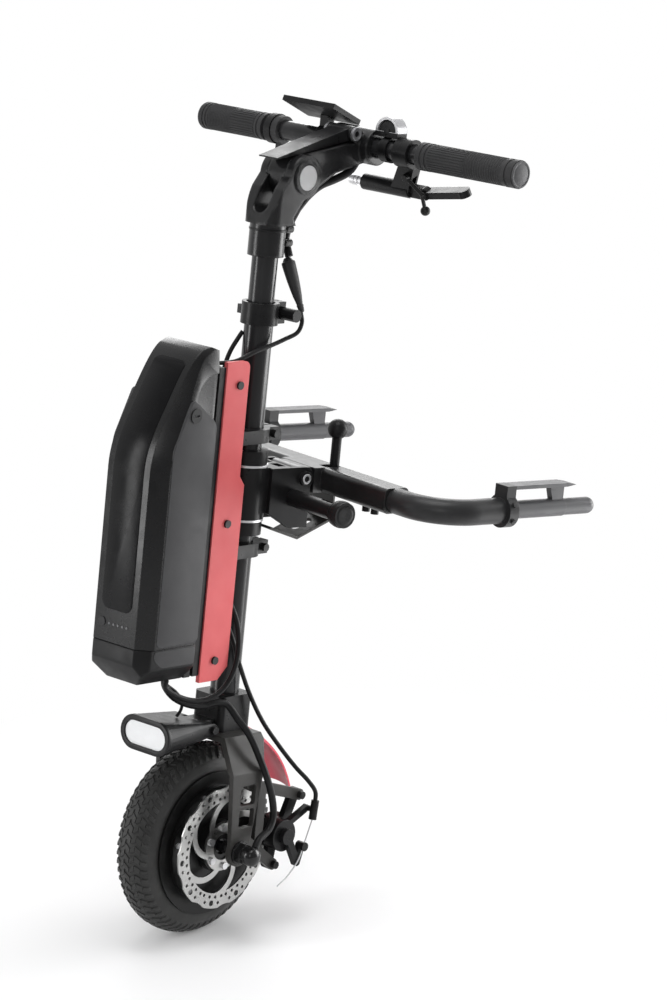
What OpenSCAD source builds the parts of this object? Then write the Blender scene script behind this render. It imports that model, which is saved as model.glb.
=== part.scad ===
// Clip-on power drive for a manual wheelchair.
// A small motor wheel in a raked fork carries a steering column with a battery, a height-adjustable mast and
// a handlebar. A docking head on the column holds two bent arms that plug into sockets on the chair's frame.
// Millimetres. +Z is up, the drive runs towards -Y, and +X is the rider's left hand.
// The origin is the point where the tyre meets the ground.

/* [Stance] */
// Lean of the steering column from upright, in degrees
rake = 8.25; // [6:0.25:11]
// Turn of the docking head about the column as parked, in degrees
dock_turn = -9.5; // [-20:0.5:20]
// Distance of the steering axis behind the axle, at axle height
axis_back = 28.5; // [24:0.5:33]

/* [Wheel] */
// Outer radius of the tyre
wheel_r = 108; // [104:1:114]
// Width of the tyre
tyre_w = 50; // [46:1:52]
// Radius of the tyre's bead seat
bead_r = 69; // [67:0.5:71]
// Radius of the brake disc
disc_r = 70; // [66:1:72]
// Number of lobes on the brake disc's wavy edge
disc_lobes = 10; // [8:1:12]
// Number of tread blocks round the tyre
tread_blocks = 40; // [30:1:48]

/* [Fork] */
// Thickness of the fork's bent plate
fork_t = 6; // [5:0.5:7]
// Gap between the tyre and the fork's crown
tyre_gap = 9; // [6:0.5:14]
// Twice the distance of the brake-side leg's outer face from the wheel's middle
fork_w = 140; // [136:1:150]
// Distance of the far leg's outer face from the wheel's middle
far_leg_out = 48; // [46:1:60]
// Width of the mudguard
mudguard_w = 60; // [50:1:70]

/* [Column] */
// Diameter of the telescoping upper tube
mast_d = 28.6; // [27:0.1:29]
// Wall of both column tubes
tube_wall = 1.55; // [1.2:0.05:2]
// Length of the lower tube above the fork's crown
lower_tube_l = 471; // [460:1:500]
// Height of the docking pivot above the fork's crown
pivot_up = 283; // [278:1:290]
// Length of the head tube
head_l = 58; // [54:1:62]

/* [Battery] */
// Width of the battery
battery_w = 90; // [80:1:100]
// Depth of the battery, front to back
battery_d = 85; // [75:1:95]
// Height of the battery without its base
battery_h = 322; // [300:1:340]
// Height of the controller base under the battery
base_h = 43; // [36:1:48]
// Thickness of the two red side plates
plate_t = 5; // [4:0.5:6]

/* [Handlebar] */
// Overall length of the handlebar
bar_l = 464; // [440:2:520]
// Diameter of the handlebar
bar_d = 22.2; // [22:0.1:25.4]
// Distance of the left grip's inner end from the middle of the bar
grip_from = 94; // [90:1:110]
// Diameter of the grips
grip_d = 31; // [29:0.5:34]
// Reach of the stem from its pivot to the handlebar, measured level
stem_reach = 105.5; // [96:0.5:116]
// Rise of the stem from its pivot to the handlebar
stem_rise = 32; // [28:0.5:36]

/* [Dock] */
// Distance between the two docking tubes
dock_span = 421; // [400:1:460]
// Diameter of the docking tubes
dock_tube_d = 18.5; // [16:0.1:20]
// Diameter of the bent arms
arm_d = 28.5; // [26:0.5:29]
// Overall length of the cross beam
beam_l = 282; // [260:2:300]
// Bend radius of the arms, to the tube's middle
arm_bend = 50; // [42:1:56]

/* [Hidden] */
$fn = 48;

// Overrun of every cut
cut = 1;
// Gap between pieces that meet on a curve
seat = 0.3;
// Radial running clearance of a shaft
run = 0.05;

// Frames

// The axle in the column's frame
axle_y = -axis_back * cos(rake);
axle_z = -axis_back * sin(rake);
// Height of the crown plate's top above the column frame's origin
crown_top = axle_z + wheel_r + tyre_gap + fork_t;
// Height of the axle in the crown's frame
axle_down = axle_z - crown_top;

module at_axle() translate([0, 0, wheel_r]) children();
module at_crown() translate([0, axis_back, wheel_r]) rotate([-rake, 0, 0])
    translate([0, 0, crown_top]) children();
module at_dock() at_crown() rotate([0, 0, dock_turn]) children();

// Shared shapes

// A flat outline drawn in (y, z), made thickness t across X and centred on x
module across(x, t) translate([x - t / 2, 0, 0]) rotate([90, 0, 90]) linear_extrude(t) children();
// A bar along X, from x0 to x1
module rod(x0, x1, r) translate([x0, 0, 0]) rotate([0, 90, 0]) cylinder(r = r, h = x1 - x0);
// A body of revolution about X, drawn in (radius, x)
module turned() rotate([0, 90, 0]) rotate_extrude($fn = 96) children();
// The same piece on both sides
module both_sides() {
    children();
    mirror([1, 0, 0]) children();
}
// A rectangle with round corners, about its middle
module round_rect(w, d, r) {
    square([w - 2 * r, d], center = true);
    square([w, d - 2 * r], center = true);
    for (x = [-1, 1], y = [-1, 1])
        translate([x * (w / 2 - r), y * (d / 2 - r)]) circle(r = r);
}
// A bar with round ends, a little wider than its waist, between two points of a drawing
link_share = 0.97;
module link(a, b, w) {
    d = b - a;
    waist = link_share * w;
    translate(a) rotate(atan2(d.y, d.x)) translate([0, -waist / 2]) square([norm(d), waist]);
    translate(a) circle(d = w);
    translate(b) circle(d = w);
}

// A cable swept along its route, with a curve through every point
function unit(v) = v / norm(v);
function bend_point(a, b, c, d, t) =
    (2 * b + (c - a) * t + (2 * a - 5 * b + 4 * c - d) * t * t + (3 * b - a - 3 * c + d) * t * t * t) / 2;
function curve(p, steps) = [
    for (i = [0 : len(p) - 2], k = [0 : steps - 1])
        bend_point(p[max(i - 1, 0)], p[i], p[i + 1], p[min(i + 2, len(p) - 1)], k / steps),
    p[len(p) - 1]];
function heading(p, i) = unit(p[min(i + 1, len(p) - 1)] - p[max(i - 1, 0)]);
function cable_ring(c, t, ref, r, sides) =
    let (n = unit(cross(t, ref)), b = cross(n, t))
        [for (k = [0 : sides - 1]) c + r * (cos(360 * k / sides) * n + sin(360 * k / sides) * b)];
module cable(route, r, ref, steps = 2, sides = 8) {
    p = curve(route, steps);
    n = len(p);
    rings = [for (i = [0 : n - 1]) each cable_ring(p[i], heading(p, i), ref, r, sides)];
    start = [for (k = [sides - 1 : -1 : 0]) k];
    end = [for (k = [0 : sides - 1]) (n - 1) * sides + k];
    walls = [for (i = [0 : n - 2], k = [0 : sides - 1])
        let (a = i * sides + k, b = i * sides + (k + 1) % sides)
            each [[a, b, a + sides], [b, b + sides, a + sides]]];
    polyhedron(points = rings, faces = concat([start, end], walls), convexity = 6);
}

// Wheel

// Radius of the tyre's section, and how far its centre lies inside the tread
tyre_round = 26.4;
tyre_centre_in = 26;
tyre_wall = 6;
groove_w = 3;
groove_d = 2.2;
groove_at = 8;
notch_w = 5;
notch_l = 13;
// Turn of the shoulder notches about the section's centre
notch_lean = 42;
flange_t = 2.7;
flange_r = 81;
shell_bore = 56;
rim_half = tyre_w / 2 + seat + flange_t;

module tyre_section(inset) intersection() {
    translate([wheel_r - tyre_centre_in, 0]) circle(r = tyre_round - inset);
    translate([bead_r - inset, -tyre_w / 2 + inset]) square([wheel_r - bead_r, tyre_w - 2 * inset]);
}
module tyre() color("#1d1d1f") at_axle() difference() {
    turned() difference() {
        tyre_section(0);
        tyre_section(tyre_wall);
        for (s = [-1, 1])
            translate([wheel_r - groove_d, s * groove_at - groove_w / 2]) square([groove_d + cut, groove_w]);
    }
    for (i = [0 : tread_blocks - 1], s = [-1, 1])
        rotate([(i + s / 4) * 360 / tread_blocks, 0, 0])
            translate([0, 0, wheel_r - tyre_centre_in]) rotate([0, s * notch_lean, 0])
                translate([0, 0, tyre_round]) rotate([0, 0, s * 25])
                    cube([notch_l, notch_w, 2 * groove_d], center = true);
}

module hub_rim() turned() {
    translate([shell_bore, -rim_half]) square([bead_r - seat - shell_bore, 2 * rim_half]);
    for (s = [-1, 1])
        translate([shell_bore, s * (rim_half - flange_t / 2) - flange_t / 2])
            square([flange_r - shell_bore, flange_t]);
}

cover_r = 66;
cover_t = 5;
boss_r = 29;
boss_h = 10.6;
far_boss_r = 24;
far_boss_h = 6.4;
bearing_r = 16;
bearing_w = 10;
axle_d = 12;
axle_hole_r = 9;
disc_face = rim_half + cover_t + boss_h;

// Side cover of the motor, drawn for +X
module hub_cover(boss, h) turned() difference() {
    union() {
        translate([axle_hole_r, rim_half]) square([cover_r - axle_hole_r, cover_t]);
        translate([axle_hole_r, rim_half]) square([boss - axle_hole_r, cover_t + h]);
    }
    translate([0, rim_half - cut]) square([bearing_r + run, bearing_w + cut]);
}
module hub_covers() color("#202022") at_axle() {
    hub_cover(boss_r, boss_h);
    mirror([1, 0, 0]) hub_cover(far_boss_r, far_boss_h);
}

cover_screws_n = 6;
cover_screw_at = 60;
cover_screw_r = 3.2;
cover_screw_h = 2.5;
module wheel_screws() color("#c3c3c5") at_axle() {
    both_sides() for (i = [0 : cover_screws_n - 1])
        rotate([i * 360 / cover_screws_n + 15, 0, 0]) translate([0, 0, cover_screw_at])
            rod(rim_half + cover_t, rim_half + cover_t + cover_screw_h, cover_screw_r);
    for (i = [0 : disc_bolts_n - 1])
        rotate([i * 360 / disc_bolts_n, 0, 0]) translate([0, 0, disc_bolt_at])
            rod(disc_face + disc_t, disc_face + disc_t + disc_bolt_h, disc_bolt_r);
}

disc_t = 2;
disc_bore = 15;
disc_hub_r = 27;
disc_band = 17;
disc_dip = 2.2;
disc_scoop_r = 34;
spoke_n = 6;
spoke_w = 7;
spoke_r = 30;
spoke_off = 28;
big_hole_r = 3.3;
small_hole_r = 1.9;
outer_row_in = 6;
inner_row_in = 13;
// Places of the small holes, as shares of a lobe
outer_share = 0.27;
inner_shares = [0.13, 0.4];

module disc_outline() difference() {
    circle(r = disc_r, $fn = 96);
    for (i = [0 : disc_lobes - 1])
        rotate((i + 0.5) * 360 / disc_lobes) translate([disc_r + disc_scoop_r - disc_dip, 0])
            circle(r = disc_scoop_r, $fn = 96);
}
module disc_spoke() intersection() {
    translate([spoke_off, 0]) difference() {
        circle(r = spoke_r + spoke_w / 2);
        circle(r = spoke_r - spoke_w / 2);
    }
    circle(r = disc_r - disc_band + spoke_w / 2);
    translate([-disc_r, 0]) square([2 * disc_r, disc_r]);
}
module disc_holes() for (i = [0 : disc_lobes - 1]) rotate(i * 360 / disc_lobes) {
    translate([disc_r - outer_row_in, 0]) circle(r = big_hole_r);
    for (s = [-1, 1]) {
        rotate(s * outer_share * 360 / disc_lobes) translate([disc_r - outer_row_in, 0])
            circle(r = small_hole_r);
        for (a = inner_shares)
            rotate(s * a * 360 / disc_lobes) translate([disc_r - inner_row_in, 0]) circle(r = small_hole_r);
    }
}
module brake_disc() color("#cfd0d2") at_axle() translate([disc_face, 0, 0]) rotate([90, 0, 90])
    linear_extrude(disc_t) difference() {
        union() {
            difference() {
                disc_outline();
                circle(r = disc_r - disc_band);
            }
            circle(r = disc_hub_r);
            for (i = [0 : spoke_n - 1]) rotate(i * 360 / spoke_n) disc_spoke();
        }
        circle(r = disc_bore);
        disc_holes();
    }

disc_bolt_at = 22;
disc_bolt_r = 4;
disc_bolt_h = 3;
disc_bolts_n = 6;
module wheel_bearings() color("#a9abad") at_axle() both_sides() turned()
    translate([axle_d / 2 + run, rim_half]) square([bearing_r - axle_d / 2 - run, bearing_w]);

magnets_n = 20;
magnet_t = 2.4;
magnet_l = 32;
magnet_share = 0.85;
module magnets() rotate([0, 90, 0])
    for (i = [0 : magnets_n - 1])
        rotate(i * 360 / magnets_n) rotate_extrude(angle = magnet_share * 360 / magnets_n, $fn = 96)
            translate([shell_bore - run - magnet_t, -magnet_l / 2]) square([magnet_t, magnet_l]);
module hub_shell() color("#2a2a2c") at_axle() {
    hub_rim();
    magnets();
}

// Axle and motor core, which stand still in the fork
axle_over = 14;

stator_l = 36;
stator_hub_r = 26;
air_gap = 0.8;
teeth_n = 18;
tooth_w = 6;
coil_w = 8.5;
coil_in = 5;
coil_l = 15;
stator_r = shell_bore - magnet_t - air_gap;
module stator() color("#9a5a34") at_axle() across(0, stator_l) difference() {
    union() {
        circle(r = stator_hub_r);
        intersection() {
            circle(r = stator_r, $fn = 96);
            for (i = [0 : teeth_n - 1]) rotate(i * 360 / teeth_n) {
                translate([0, -tooth_w / 2]) square([stator_r, tooth_w]);
                translate([stator_hub_r + coil_in, -coil_w / 2]) square([coil_l, coil_w]);
            }
        }
    }
    circle(r = axle_d / 2 + run);
}

washer_r = 13;
washer_t = 2;
nut_r = 12.4;
nut_h = 9;
cap_r = 10.2;
cap_h = 14;
cap_edge = 4;
// Washer, nut and domed cap on a leg whose outer face lies at x = out
module axle_nut(out) difference() {
    union() {
        rod(out, out + washer_t, washer_r);
        rotate([0, 90, 0]) translate([0, 0, out + washer_t]) cylinder(r = nut_r, h = nut_h, $fn = 6);
        translate([out + washer_t + nut_h, 0, 0]) turned() {
            translate([0, -cut]) square([cap_r, cap_h - cap_edge + cut]);
            translate([0, -cut]) square([cap_r - cap_edge, cap_h + cut]);
            translate([cap_r - cap_edge, cap_h - cap_edge]) circle(r = cap_edge);
        }
    }
    rod(0, out + axle_over + run, axle_d / 2 + run);
}
module axle() color("#1a1a1b") at_axle() {
    rod(-far_leg_out - axle_over, fork_w / 2 + axle_over, axle_d / 2);
    axle_nut(fork_w / 2);
    mirror([1, 0, 0]) axle_nut(far_leg_out);
}

// Fork

// Reach of the crown plate to each side and drop of the sloping shoulders
crown_half = 40;
far_crown_half = 28;
crown_front = 36;
shoulder_drop = 33;
leg_foot_r = 16;
// Where the leg's straight edges run into its round foot
foot_share = [0.8, -0.5];
leg_front = 21;
leg_back = 28;
crown_back = 22;
window_r = 3;

// Insets of the strip's inner corners for a shoulder of the given slope
function top_in(slope) = fork_t * tan(slope / 2);
function low_in(slope) = fork_t * tan((90 - slope) / 2);
// Bent strip seen from the front, in (x, z)
module fork_strip() {
    foot = axle_down - leg_foot_r - cut;
    near = fork_w / 2;
    near_slope = atan2(shoulder_drop, near - crown_half);
    far_slope = atan2(shoulder_drop, far_leg_out - far_crown_half);
    polygon([
        [-far_leg_out, foot], [-far_leg_out, -shoulder_drop], [-far_crown_half, 0],
        [crown_half, 0], [near, -shoulder_drop], [near, foot],
        [near - fork_t, foot], [near - fork_t, -shoulder_drop - low_in(near_slope)],
        [crown_half - top_in(near_slope), -fork_t], [top_in(far_slope) - far_crown_half, -fork_t],
        [fork_t - far_leg_out, -shoulder_drop - low_in(far_slope)], [fork_t - far_leg_out, foot]]);
}
// Side outline of the legs and crown, in (y, z)
module fork_side() polygon([
    [-crown_front, 0], [crown_back, 0], [crown_back, -fork_t], [axle_y + leg_back, -shoulder_drop],
    [axle_y + foot_share.x * leg_foot_r, axle_down + foot_share.y * leg_foot_r],
    [axle_y - foot_share.x * leg_foot_r, axle_down + foot_share.y * leg_foot_r],
    [axle_y - leg_front, -shoulder_drop]]);
leg_windows_share = [[0.20, 0.50], [0.56, 0.84]];
window_w = 23;
window_back = 6;
module leg_windows() for (w = leg_windows_share) {
    reach = -shoulder_drop - axle_down - leg_foot_r;
    h = (w[1] - w[0]) * reach;
    translate([axle_y + window_back, -shoulder_drop - (w[0] + w[1]) / 2 * reach])
        round_rect(window_w, h, window_r);
}
module fork_body() {
    intersection() {
        rotate([90, 0, 0]) linear_extrude(2 * wheel_r, center = true) fork_strip();
        across(0, fork_w + cut) fork_side();
    }
    translate([0, axle_y, axle_down]) {
        rod(fork_w / 2 - fork_t, fork_w / 2, leg_foot_r);
        rod(-far_leg_out, fork_t - far_leg_out, leg_foot_r);
    }
}
module fork() color("#232325") at_crown() difference() {
    fork_body();
    across(0, fork_w + cut) leg_windows();
    translate([0, axle_y, axle_down]) rod(-fork_w, fork_w, axle_d / 2 + run);
}

tube_d = mast_d + 2 * run + 2 * tube_wall;
block_w = 44;
block_front = 26;
block_back = 24;
block_h = 40;
block_r = 7;
lug_w = 26;
lamp_pin_y = -45;
lamp_pin_z = 8;
lamp_pin_r = 3;
lamp_lug_r = 6;
module crown_block() color("#1f1f21") at_crown() difference() {
    union() {
        translate([0, (block_back - block_front) / 2, 0]) linear_extrude(block_h)
            round_rect(block_w, block_back + block_front, block_r);
        across(0, lug_w) link([lamp_pin_y, lamp_pin_z], [-block_front + block_r, lamp_pin_z], 2 * lamp_lug_r);
    }
    translate([0, 0, -cut]) cylinder(d = tube_d + 2 * run, h = block_h + 2 * cut);
    translate([0, lamp_pin_y, lamp_pin_z]) rod(-block_w, block_w, lamp_pin_r + run);
}

mudguard_r = 136;
mudguard_t = 2.5;
mudguard_crown_r = 70;
mudguard_low = 13;
mudguard_high = 58;
tab_w = 26;
tab_h = 20;
module mudguard_section() intersection() {
    translate([mudguard_r - mudguard_crown_r, 0]) difference() {
        circle(r = mudguard_crown_r, $fn = 96);
        circle(r = mudguard_crown_r - mudguard_t, $fn = 96);
    }
    translate([mudguard_r - mudguard_crown_r, -mudguard_w / 2]) square([mudguard_crown_r, mudguard_w]);
}
module mudguard() color("#c42c33") {
    at_axle() rotate([0, 90, 0]) rotate(90 + mudguard_low)
        rotate_extrude(angle = mudguard_high - mudguard_low, $fn = 96) mudguard_section();
    at_crown() translate([-tab_w / 2, block_back, -fork_t]) cube([tab_w, mudguard_t, tab_h]);
}

// Headlight, hinged on the crown's lug
lamp_w = 73;
lamp_h = 38;
lamp_front = 119.5;
lamp_tail_r = 7;
lamp_tail_half = 30;
lamp_bolt_half = lamp_tail_half + 5 * seat;
lamp_z = 4.6;
lens_t = 3;
lens_rim = 3;
lamp_fn = 32;
module lamp_face(inset, t) rotate([90, 0, 0]) linear_extrude(t)
    round_rect(lamp_w - 2 * inset, lamp_h - 2 * inset, lamp_h / 2 - inset - run);
module headlight_body() color("#202023") at_crown() difference() {
    hull($fn = lamp_fn) {
        translate([0, -lamp_front + lens_t, lamp_z]) lamp_face(0, lens_t);
        translate([0, lamp_pin_y, lamp_pin_z]) rod(-lamp_tail_half, lamp_tail_half, lamp_tail_r);
    }
    translate([0, -lamp_front + lens_t, lamp_z]) lamp_face(lens_rim, lens_t + cut);
    translate([-lug_w / 2 - seat, lamp_pin_y - lamp_tail_r - 2 * seat, lamp_pin_z - lamp_h])
        cube([lug_w + 2 * seat, lamp_h, 2 * lamp_h]);
    translate([0, lamp_pin_y, lamp_pin_z]) rod(-lamp_w, lamp_w, lamp_pin_r + run);
}
module headlight_lens() color("#f2f4f6") at_crown()
    translate([0, -lamp_front + lens_t - run, lamp_z]) lamp_face(lens_rim + run, lens_t - run);

// Disc brake caliper, drawn in (y, z) about the axle
caliper_y = 70;
caliper_z = -1;
housing_r = 18;
housing_out = 72;
inner_r = 15;
inner_y = 62;
inner_in = 36.6;
pad_gap = 0.3;
pad_t = 2.3;
pad_w = 16;
pad_h = 18;
bridge_y = 82;
bridge_w = 18;
bridge_h = 30;
ear_w = 13;
ear_t = 7;
upper_bolt = [104, 36];
lower_bolt = [60, -34];
bolt_d = 5;
stop_low = [107, 10];
stop_high = [112, 31];
stop_r = 4.5;
stop_x = 80.3;
bracket_in = 58;
// Where the bracket sits on the leg
bracket_high = [26, 70];
bracket_low = [10, 14];
// Where the bracket's two arms are tied together, as shares of each arm
bracket_tie_share = [0.24, 0.5];

module across_from(x0, x1) across((x0 + x1) / 2, x1 - x0) children();
module caliper_bracket() color("#2b2b2d") at_axle() difference() {
    across_from(bracket_in, fork_w / 2 - fork_t) {
        link(bracket_high, upper_bolt, ear_w);
        link(bracket_low, lower_bolt, ear_w);
        link(bracket_high + bracket_tie_share.x * (upper_bolt - bracket_high),
            bracket_low + bracket_tie_share.y * (lower_bolt - bracket_low), ear_w);
    }
    for (b = [upper_bolt, lower_bolt])
        translate([0, b.x, b.y]) rod(0, fork_w, bolt_d / 2 + run);
}
module caliper_body() color("#1c1c1e") at_axle() difference() {
    union() {
        translate([0, caliper_y, caliper_z]) rod(disc_face + disc_t + pad_gap, housing_out, housing_r);
        translate([0, inner_y, caliper_z]) rod(inner_in, disc_face - pad_gap, inner_r);
        translate([inner_in, bridge_y - bridge_w / 2, caliper_z - bridge_h / 2])
            cube([bracket_in - inner_in - run, bridge_w, bridge_h]);
        across_from(bracket_in - ear_t, bracket_in) {
            link([caliper_y + housing_r - ear_w / 2, caliper_z], upper_bolt, ear_w);
            link([caliper_y, caliper_z], lower_bolt, ear_w);
        }
        across_from(housing_out - ear_t, housing_out)
            link([caliper_y, caliper_z + housing_r / 2], stop_mid, ear_w / 2);
        translate([0, stop_mid.x, stop_mid.y]) rod(housing_out - ear_t, stop_x, ear_w / 4);
        cable_stop(stop_r, 0);
    }
    rod(disc_face - pad_gap - pad_t, disc_face + disc_t + pad_gap + pad_t, disc_r + seat + disc_t);
    translate([0, caliper_y, caliper_z]) rod(disc_face, fork_w, arm_pin_r + run);
    for (b = [upper_bolt, lower_bolt])
        translate([0, b.x, b.y]) rod(0, fork_w, bolt_d / 2 + run);
    cable_stop(hose_r + seat, stop_r);
    cable_stop(wire_r + seat, -stop_r);
}
// Turned part of the cable stop, lifted along its own axis
module cable_stop(r, lift) translate([stop_x, stop_low.x, stop_low.y])
    rotate([-atan2(stop_high.x - stop_low.x, stop_high.y - stop_low.y), 0, 0])
        translate([0, 0, lift]) cylinder(r = r, h = norm(stop_high - stop_low));
stop_mid = (stop_low + stop_high) / 2;
module brake_pads() color("#4b4035") at_axle()
    for (x = [disc_face - pad_gap - pad_t, disc_face + disc_t + pad_gap])
        translate([x, inner_y - pad_w / 2, caliper_z - pad_h / 2]) cube([pad_t, pad_w, pad_h]);

arm_t = 6.5;
arm_pin_r = 5;
arm_pin_l = 14;
arm_boss_r = 9;
arm_end = [84, -35];
anchor = [92, -18];
arm_w = 9;
wire_r = 0.8;
anchor_r = 5;
module brake_arm() color("#2e2e31") at_axle() difference() {
    union() {
        across_from(housing_out + seat, housing_out + seat + arm_t) {
            translate([caliper_y, caliper_z]) circle(r = arm_boss_r);
            link([caliper_y, caliper_z], arm_end, arm_w);
            link(arm_end, anchor, arm_w);
        }
        translate([0, caliper_y, caliper_z]) rod(housing_out - arm_pin_l, housing_out + seat + cut, arm_pin_r);
        translate([0, anchor.x, anchor.y]) rod(housing_out + seat, stop_x + arm_w / 3, anchor_r);
    }
    translate([stop_x, anchor.x, anchor.y]) rotate([-atan2(wire_run.x, wire_run.y), 0, 0])
        cylinder(r = wire_r + seat, h = 4 * arm_w, center = true);
}
wire_run = stop_low - anchor;

// Cables, in the crown's frame
tube_end = [0, 0, lower_tube_l];
hose_r = 2.5;
// From the port near the top of the lower tube, then down the column
hose_start = [[-11.6, -11.6, -30], [-14.5, -15, -38], [-18, -22, -53]];
hose_run = [
    [-17, -30, 400], [-11, -40, 370], [-7, -41, 320], [-6, -41, 260], [-4, -40, 200], [2, -36, 162],
    [11, -25, 132], [20, -16, 104], [23, -9, 84], [28, 8, 46], [36, 26, 12], [48, 42, -14], [62, 58, -38],
    [74, 70, -54], [80, 77, -66], [80.3, 77.8, -78]];
hose_route = [for (p = hose_start) p + tube_end, each hose_run];
module brake_hose() color("#161617") at_crown() cable(hose_route, hose_r, [1, 0, 0]);
wire_route = [
    [80.3, 76.6, -97], [80.3, 65.4, -127.6], [80.3, 61, -139], [80.3, 54, -149], [80.3, 42, -160],
    [80.3, 28, -168]];
module brake_wire() color("#b5b5b5") at_crown() cable(wire_route, wire_r, [1, 0, 0], 1, 6);
motor_cable_r = 4;
motor_route = [
    [10, -108, 70.5], [10, -106, 60], [12, -92, 46], [16, -72, 37], [20, -54, 34.5], [24, -38, 37],
    [28.5, -24, 33.5], [38, -17, 20], [54, -11.7, 3.7], [68, -8.1, -17.9], [76, -2.3, -38.6],
    [78, 7.2, -61.4], [79, 11.7, -83.7], [82, 3.3, -98.2], [84, -13.2, -106.2], [86, -21.3, -115]];
loop_r = 3;
loop_route = [
    [20, -116, 70.4], [20, -114, 60], [24, -88, 47], [29, -64, 44], [33, -43, 52], [34, -27, 70], [33, -20, 95],
    [28, -20, 124], [17, -26, 150], [15, -40, 168], [13, -56, 178], [12, -72.5, 180]];
module motor_cables() color("#171718") at_crown() {
    cable(motor_route, motor_cable_r, [0, 0, 1]);
    cable(loop_route, loop_r, [1, 0, 0]);
}
lead_r = 1.8;
lead_route = [[0, -98, 70.5], [0, -97, 61], [0, -78, 48], [0, -67, 37], [0, -67, 27], [0, -73, 20]];
module headlight_lead() color("#171718") at_crown() cable(lead_route, lead_r, [1, 0, 0]);

// Column

slit_w = 3;
slit_l = 34;
port_down = 33;
port_r = 4;
module lower_tube() color("#262628") at_crown() difference() {
    cylinder(d = tube_d, h = lower_tube_l);
    translate([0, 0, -cut]) cylinder(d = mast_d + 2 * run, h = lower_tube_l + 2 * cut);
    translate([-slit_w / 2, 0, lower_tube_l - slit_l]) cube([slit_w, tube_d, slit_l + cut]);
    translate([0, 0, lower_tube_l - port_down]) rotate([90, 0, -45]) cylinder(r = port_r, h = tube_d);
}

collar_r = 23.5;
collar_h = 15;
head_drop = 16.5;
head_mid = pivot_up - head_drop;
ring_h = 2.5;
head_r = 24.5;
module collars() color("#202022") at_crown() {
    for (z = [head_mid + head_l / 2 + ring_h + seat, head_mid - head_l / 2 - ring_h - seat - collar_h])
        translate([0, 0, z]) difference() {
            cylinder(r = collar_r, h = collar_h);
            translate([0, 0, -cut]) cylinder(d = tube_d + 2 * run, h = collar_h + 2 * cut);
        }
}

plate_in = 23;
clamp_h = 15;
clamp_r = 23;
clamp_ear = 34;
clamp_ear_w = 26;
clamp_reach = 60;
clamp_gap = 24;
clamp_slit = 3;
clamp_bolt_y = 27;
clamp_up = 27;
clamp_down = 42;
clamp_zs = [head_mid + head_l / 2 + clamp_up, head_mid - head_l / 2 - clamp_down];
module column_clamp() difference() {
    union() {
        cylinder(r = clamp_r, h = clamp_h);
        translate([-clamp_ear_w / 2, 0, 0]) cube([clamp_ear_w, clamp_ear, clamp_h]);
        translate([-plate_in, -clamp_reach, 0]) cube([2 * plate_in, clamp_reach, clamp_h]);
    }
    translate([-clamp_gap / 2, -clamp_reach - cut, -cut])
        cube([clamp_gap, clamp_reach - clamp_r + cut, clamp_h + 2 * cut]);
    translate([0, 0, -cut]) cylinder(d = tube_d + 2 * run, h = clamp_h + 2 * cut);
    translate([-clamp_slit / 2, 0, -cut]) cube([clamp_slit, clamp_ear + cut, clamp_h + 2 * cut]);
    translate([0, clamp_bolt_y, clamp_h / 2]) rod(-clamp_ear_w, clamp_ear_w, bolt_d / 2 + run);
}
module column_clamps() color("#1f1f21") at_crown() {
    for (z = clamp_zs) translate([0, 0, z]) column_clamp();
    plate_spacers();
}

bolt_head_r = 4.4;
bolt_head_h = 5;
// A socket bolt along X with its head at x1
module socket_bolt(x0, x1) {
    rod(x0, x1, bolt_d / 2);
    rod(x1, x1 + bolt_head_h, bolt_head_r);
}
module socket_bolts() color("#151516") {
    plate_screws();
    at_crown() for (z = clamp_zs) translate([0, clamp_bolt_y, z + clamp_h / 2])
        socket_bolt(-clamp_ear_w / 2, clamp_ear_w / 2);
    at_axle() for (b = [upper_bolt, lower_bolt]) translate([0, b.x, b.y])
        socket_bolt(bracket_in - ear_t, fork_w / 2 - fork_t);
    at_crown() translate([0, lamp_pin_y, lamp_pin_z]) {
        rod(-lamp_bolt_half, lamp_bolt_half, lamp_pin_r);
        both_sides() rod(lamp_bolt_half, lamp_bolt_half + lens_t, bolt_head_r);
    }
}

// Battery bracket
plate_front = -73;
plate_rear = -30;
plate_top_rear = -38;
plate_top = 417;
plate_step = 285;
plate_foot = 64;
plate_chamfer = 14;
plate_round = 8;
module plate_outline() difference() {
    union() {
        polygon([
            [plate_front, plate_foot], [plate_rear - plate_chamfer, plate_foot],
            [plate_rear, plate_foot + plate_chamfer], [plate_rear, plate_step - plate_t],
            [plate_top_rear, plate_step + plate_t], [plate_top_rear, plate_top - plate_round],
            [plate_top_rear - plate_round, plate_top], [plate_front, plate_top]]);
        translate([plate_top_rear - plate_round, plate_top - plate_round]) circle(r = plate_round);
    }
    for (z = screw_zs) translate([screw_y, z]) circle(d = bolt_d + 2 * run);
}
screw_y = -52;
screw_zs = [391, 239, 87];
module side_plate() across_from(plate_in, plate_in + plate_t) plate_outline();
module side_plates() color("#c9353b") at_crown() both_sides() side_plate();

screw_head_h = 2.6;
module plate_screws() at_crown() both_sides()
    for (z = screw_zs) translate([0, screw_y, z]) {
        rod(plate_in - plate_t, plate_in + plate_t, bolt_d / 2);
        rod(plate_in + plate_t, plate_in + plate_t + screw_head_h, bolt_head_r);
    }

spacer_r = 6;
spacer_reach = -73;
module plate_spacers() for (z = screw_zs) difference() {
    across(0, 2 * plate_in) {
        translate([screw_y, z]) circle(r = spacer_r);
        translate([spacer_reach, z - spacer_r]) square([screw_y - spacer_reach, 2 * spacer_r]);
    }
    translate([0, screw_y, z]) both_sides() rod(plate_in - plate_t - cut, plate_in + cut, bolt_d / 2 + run);
}

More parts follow.
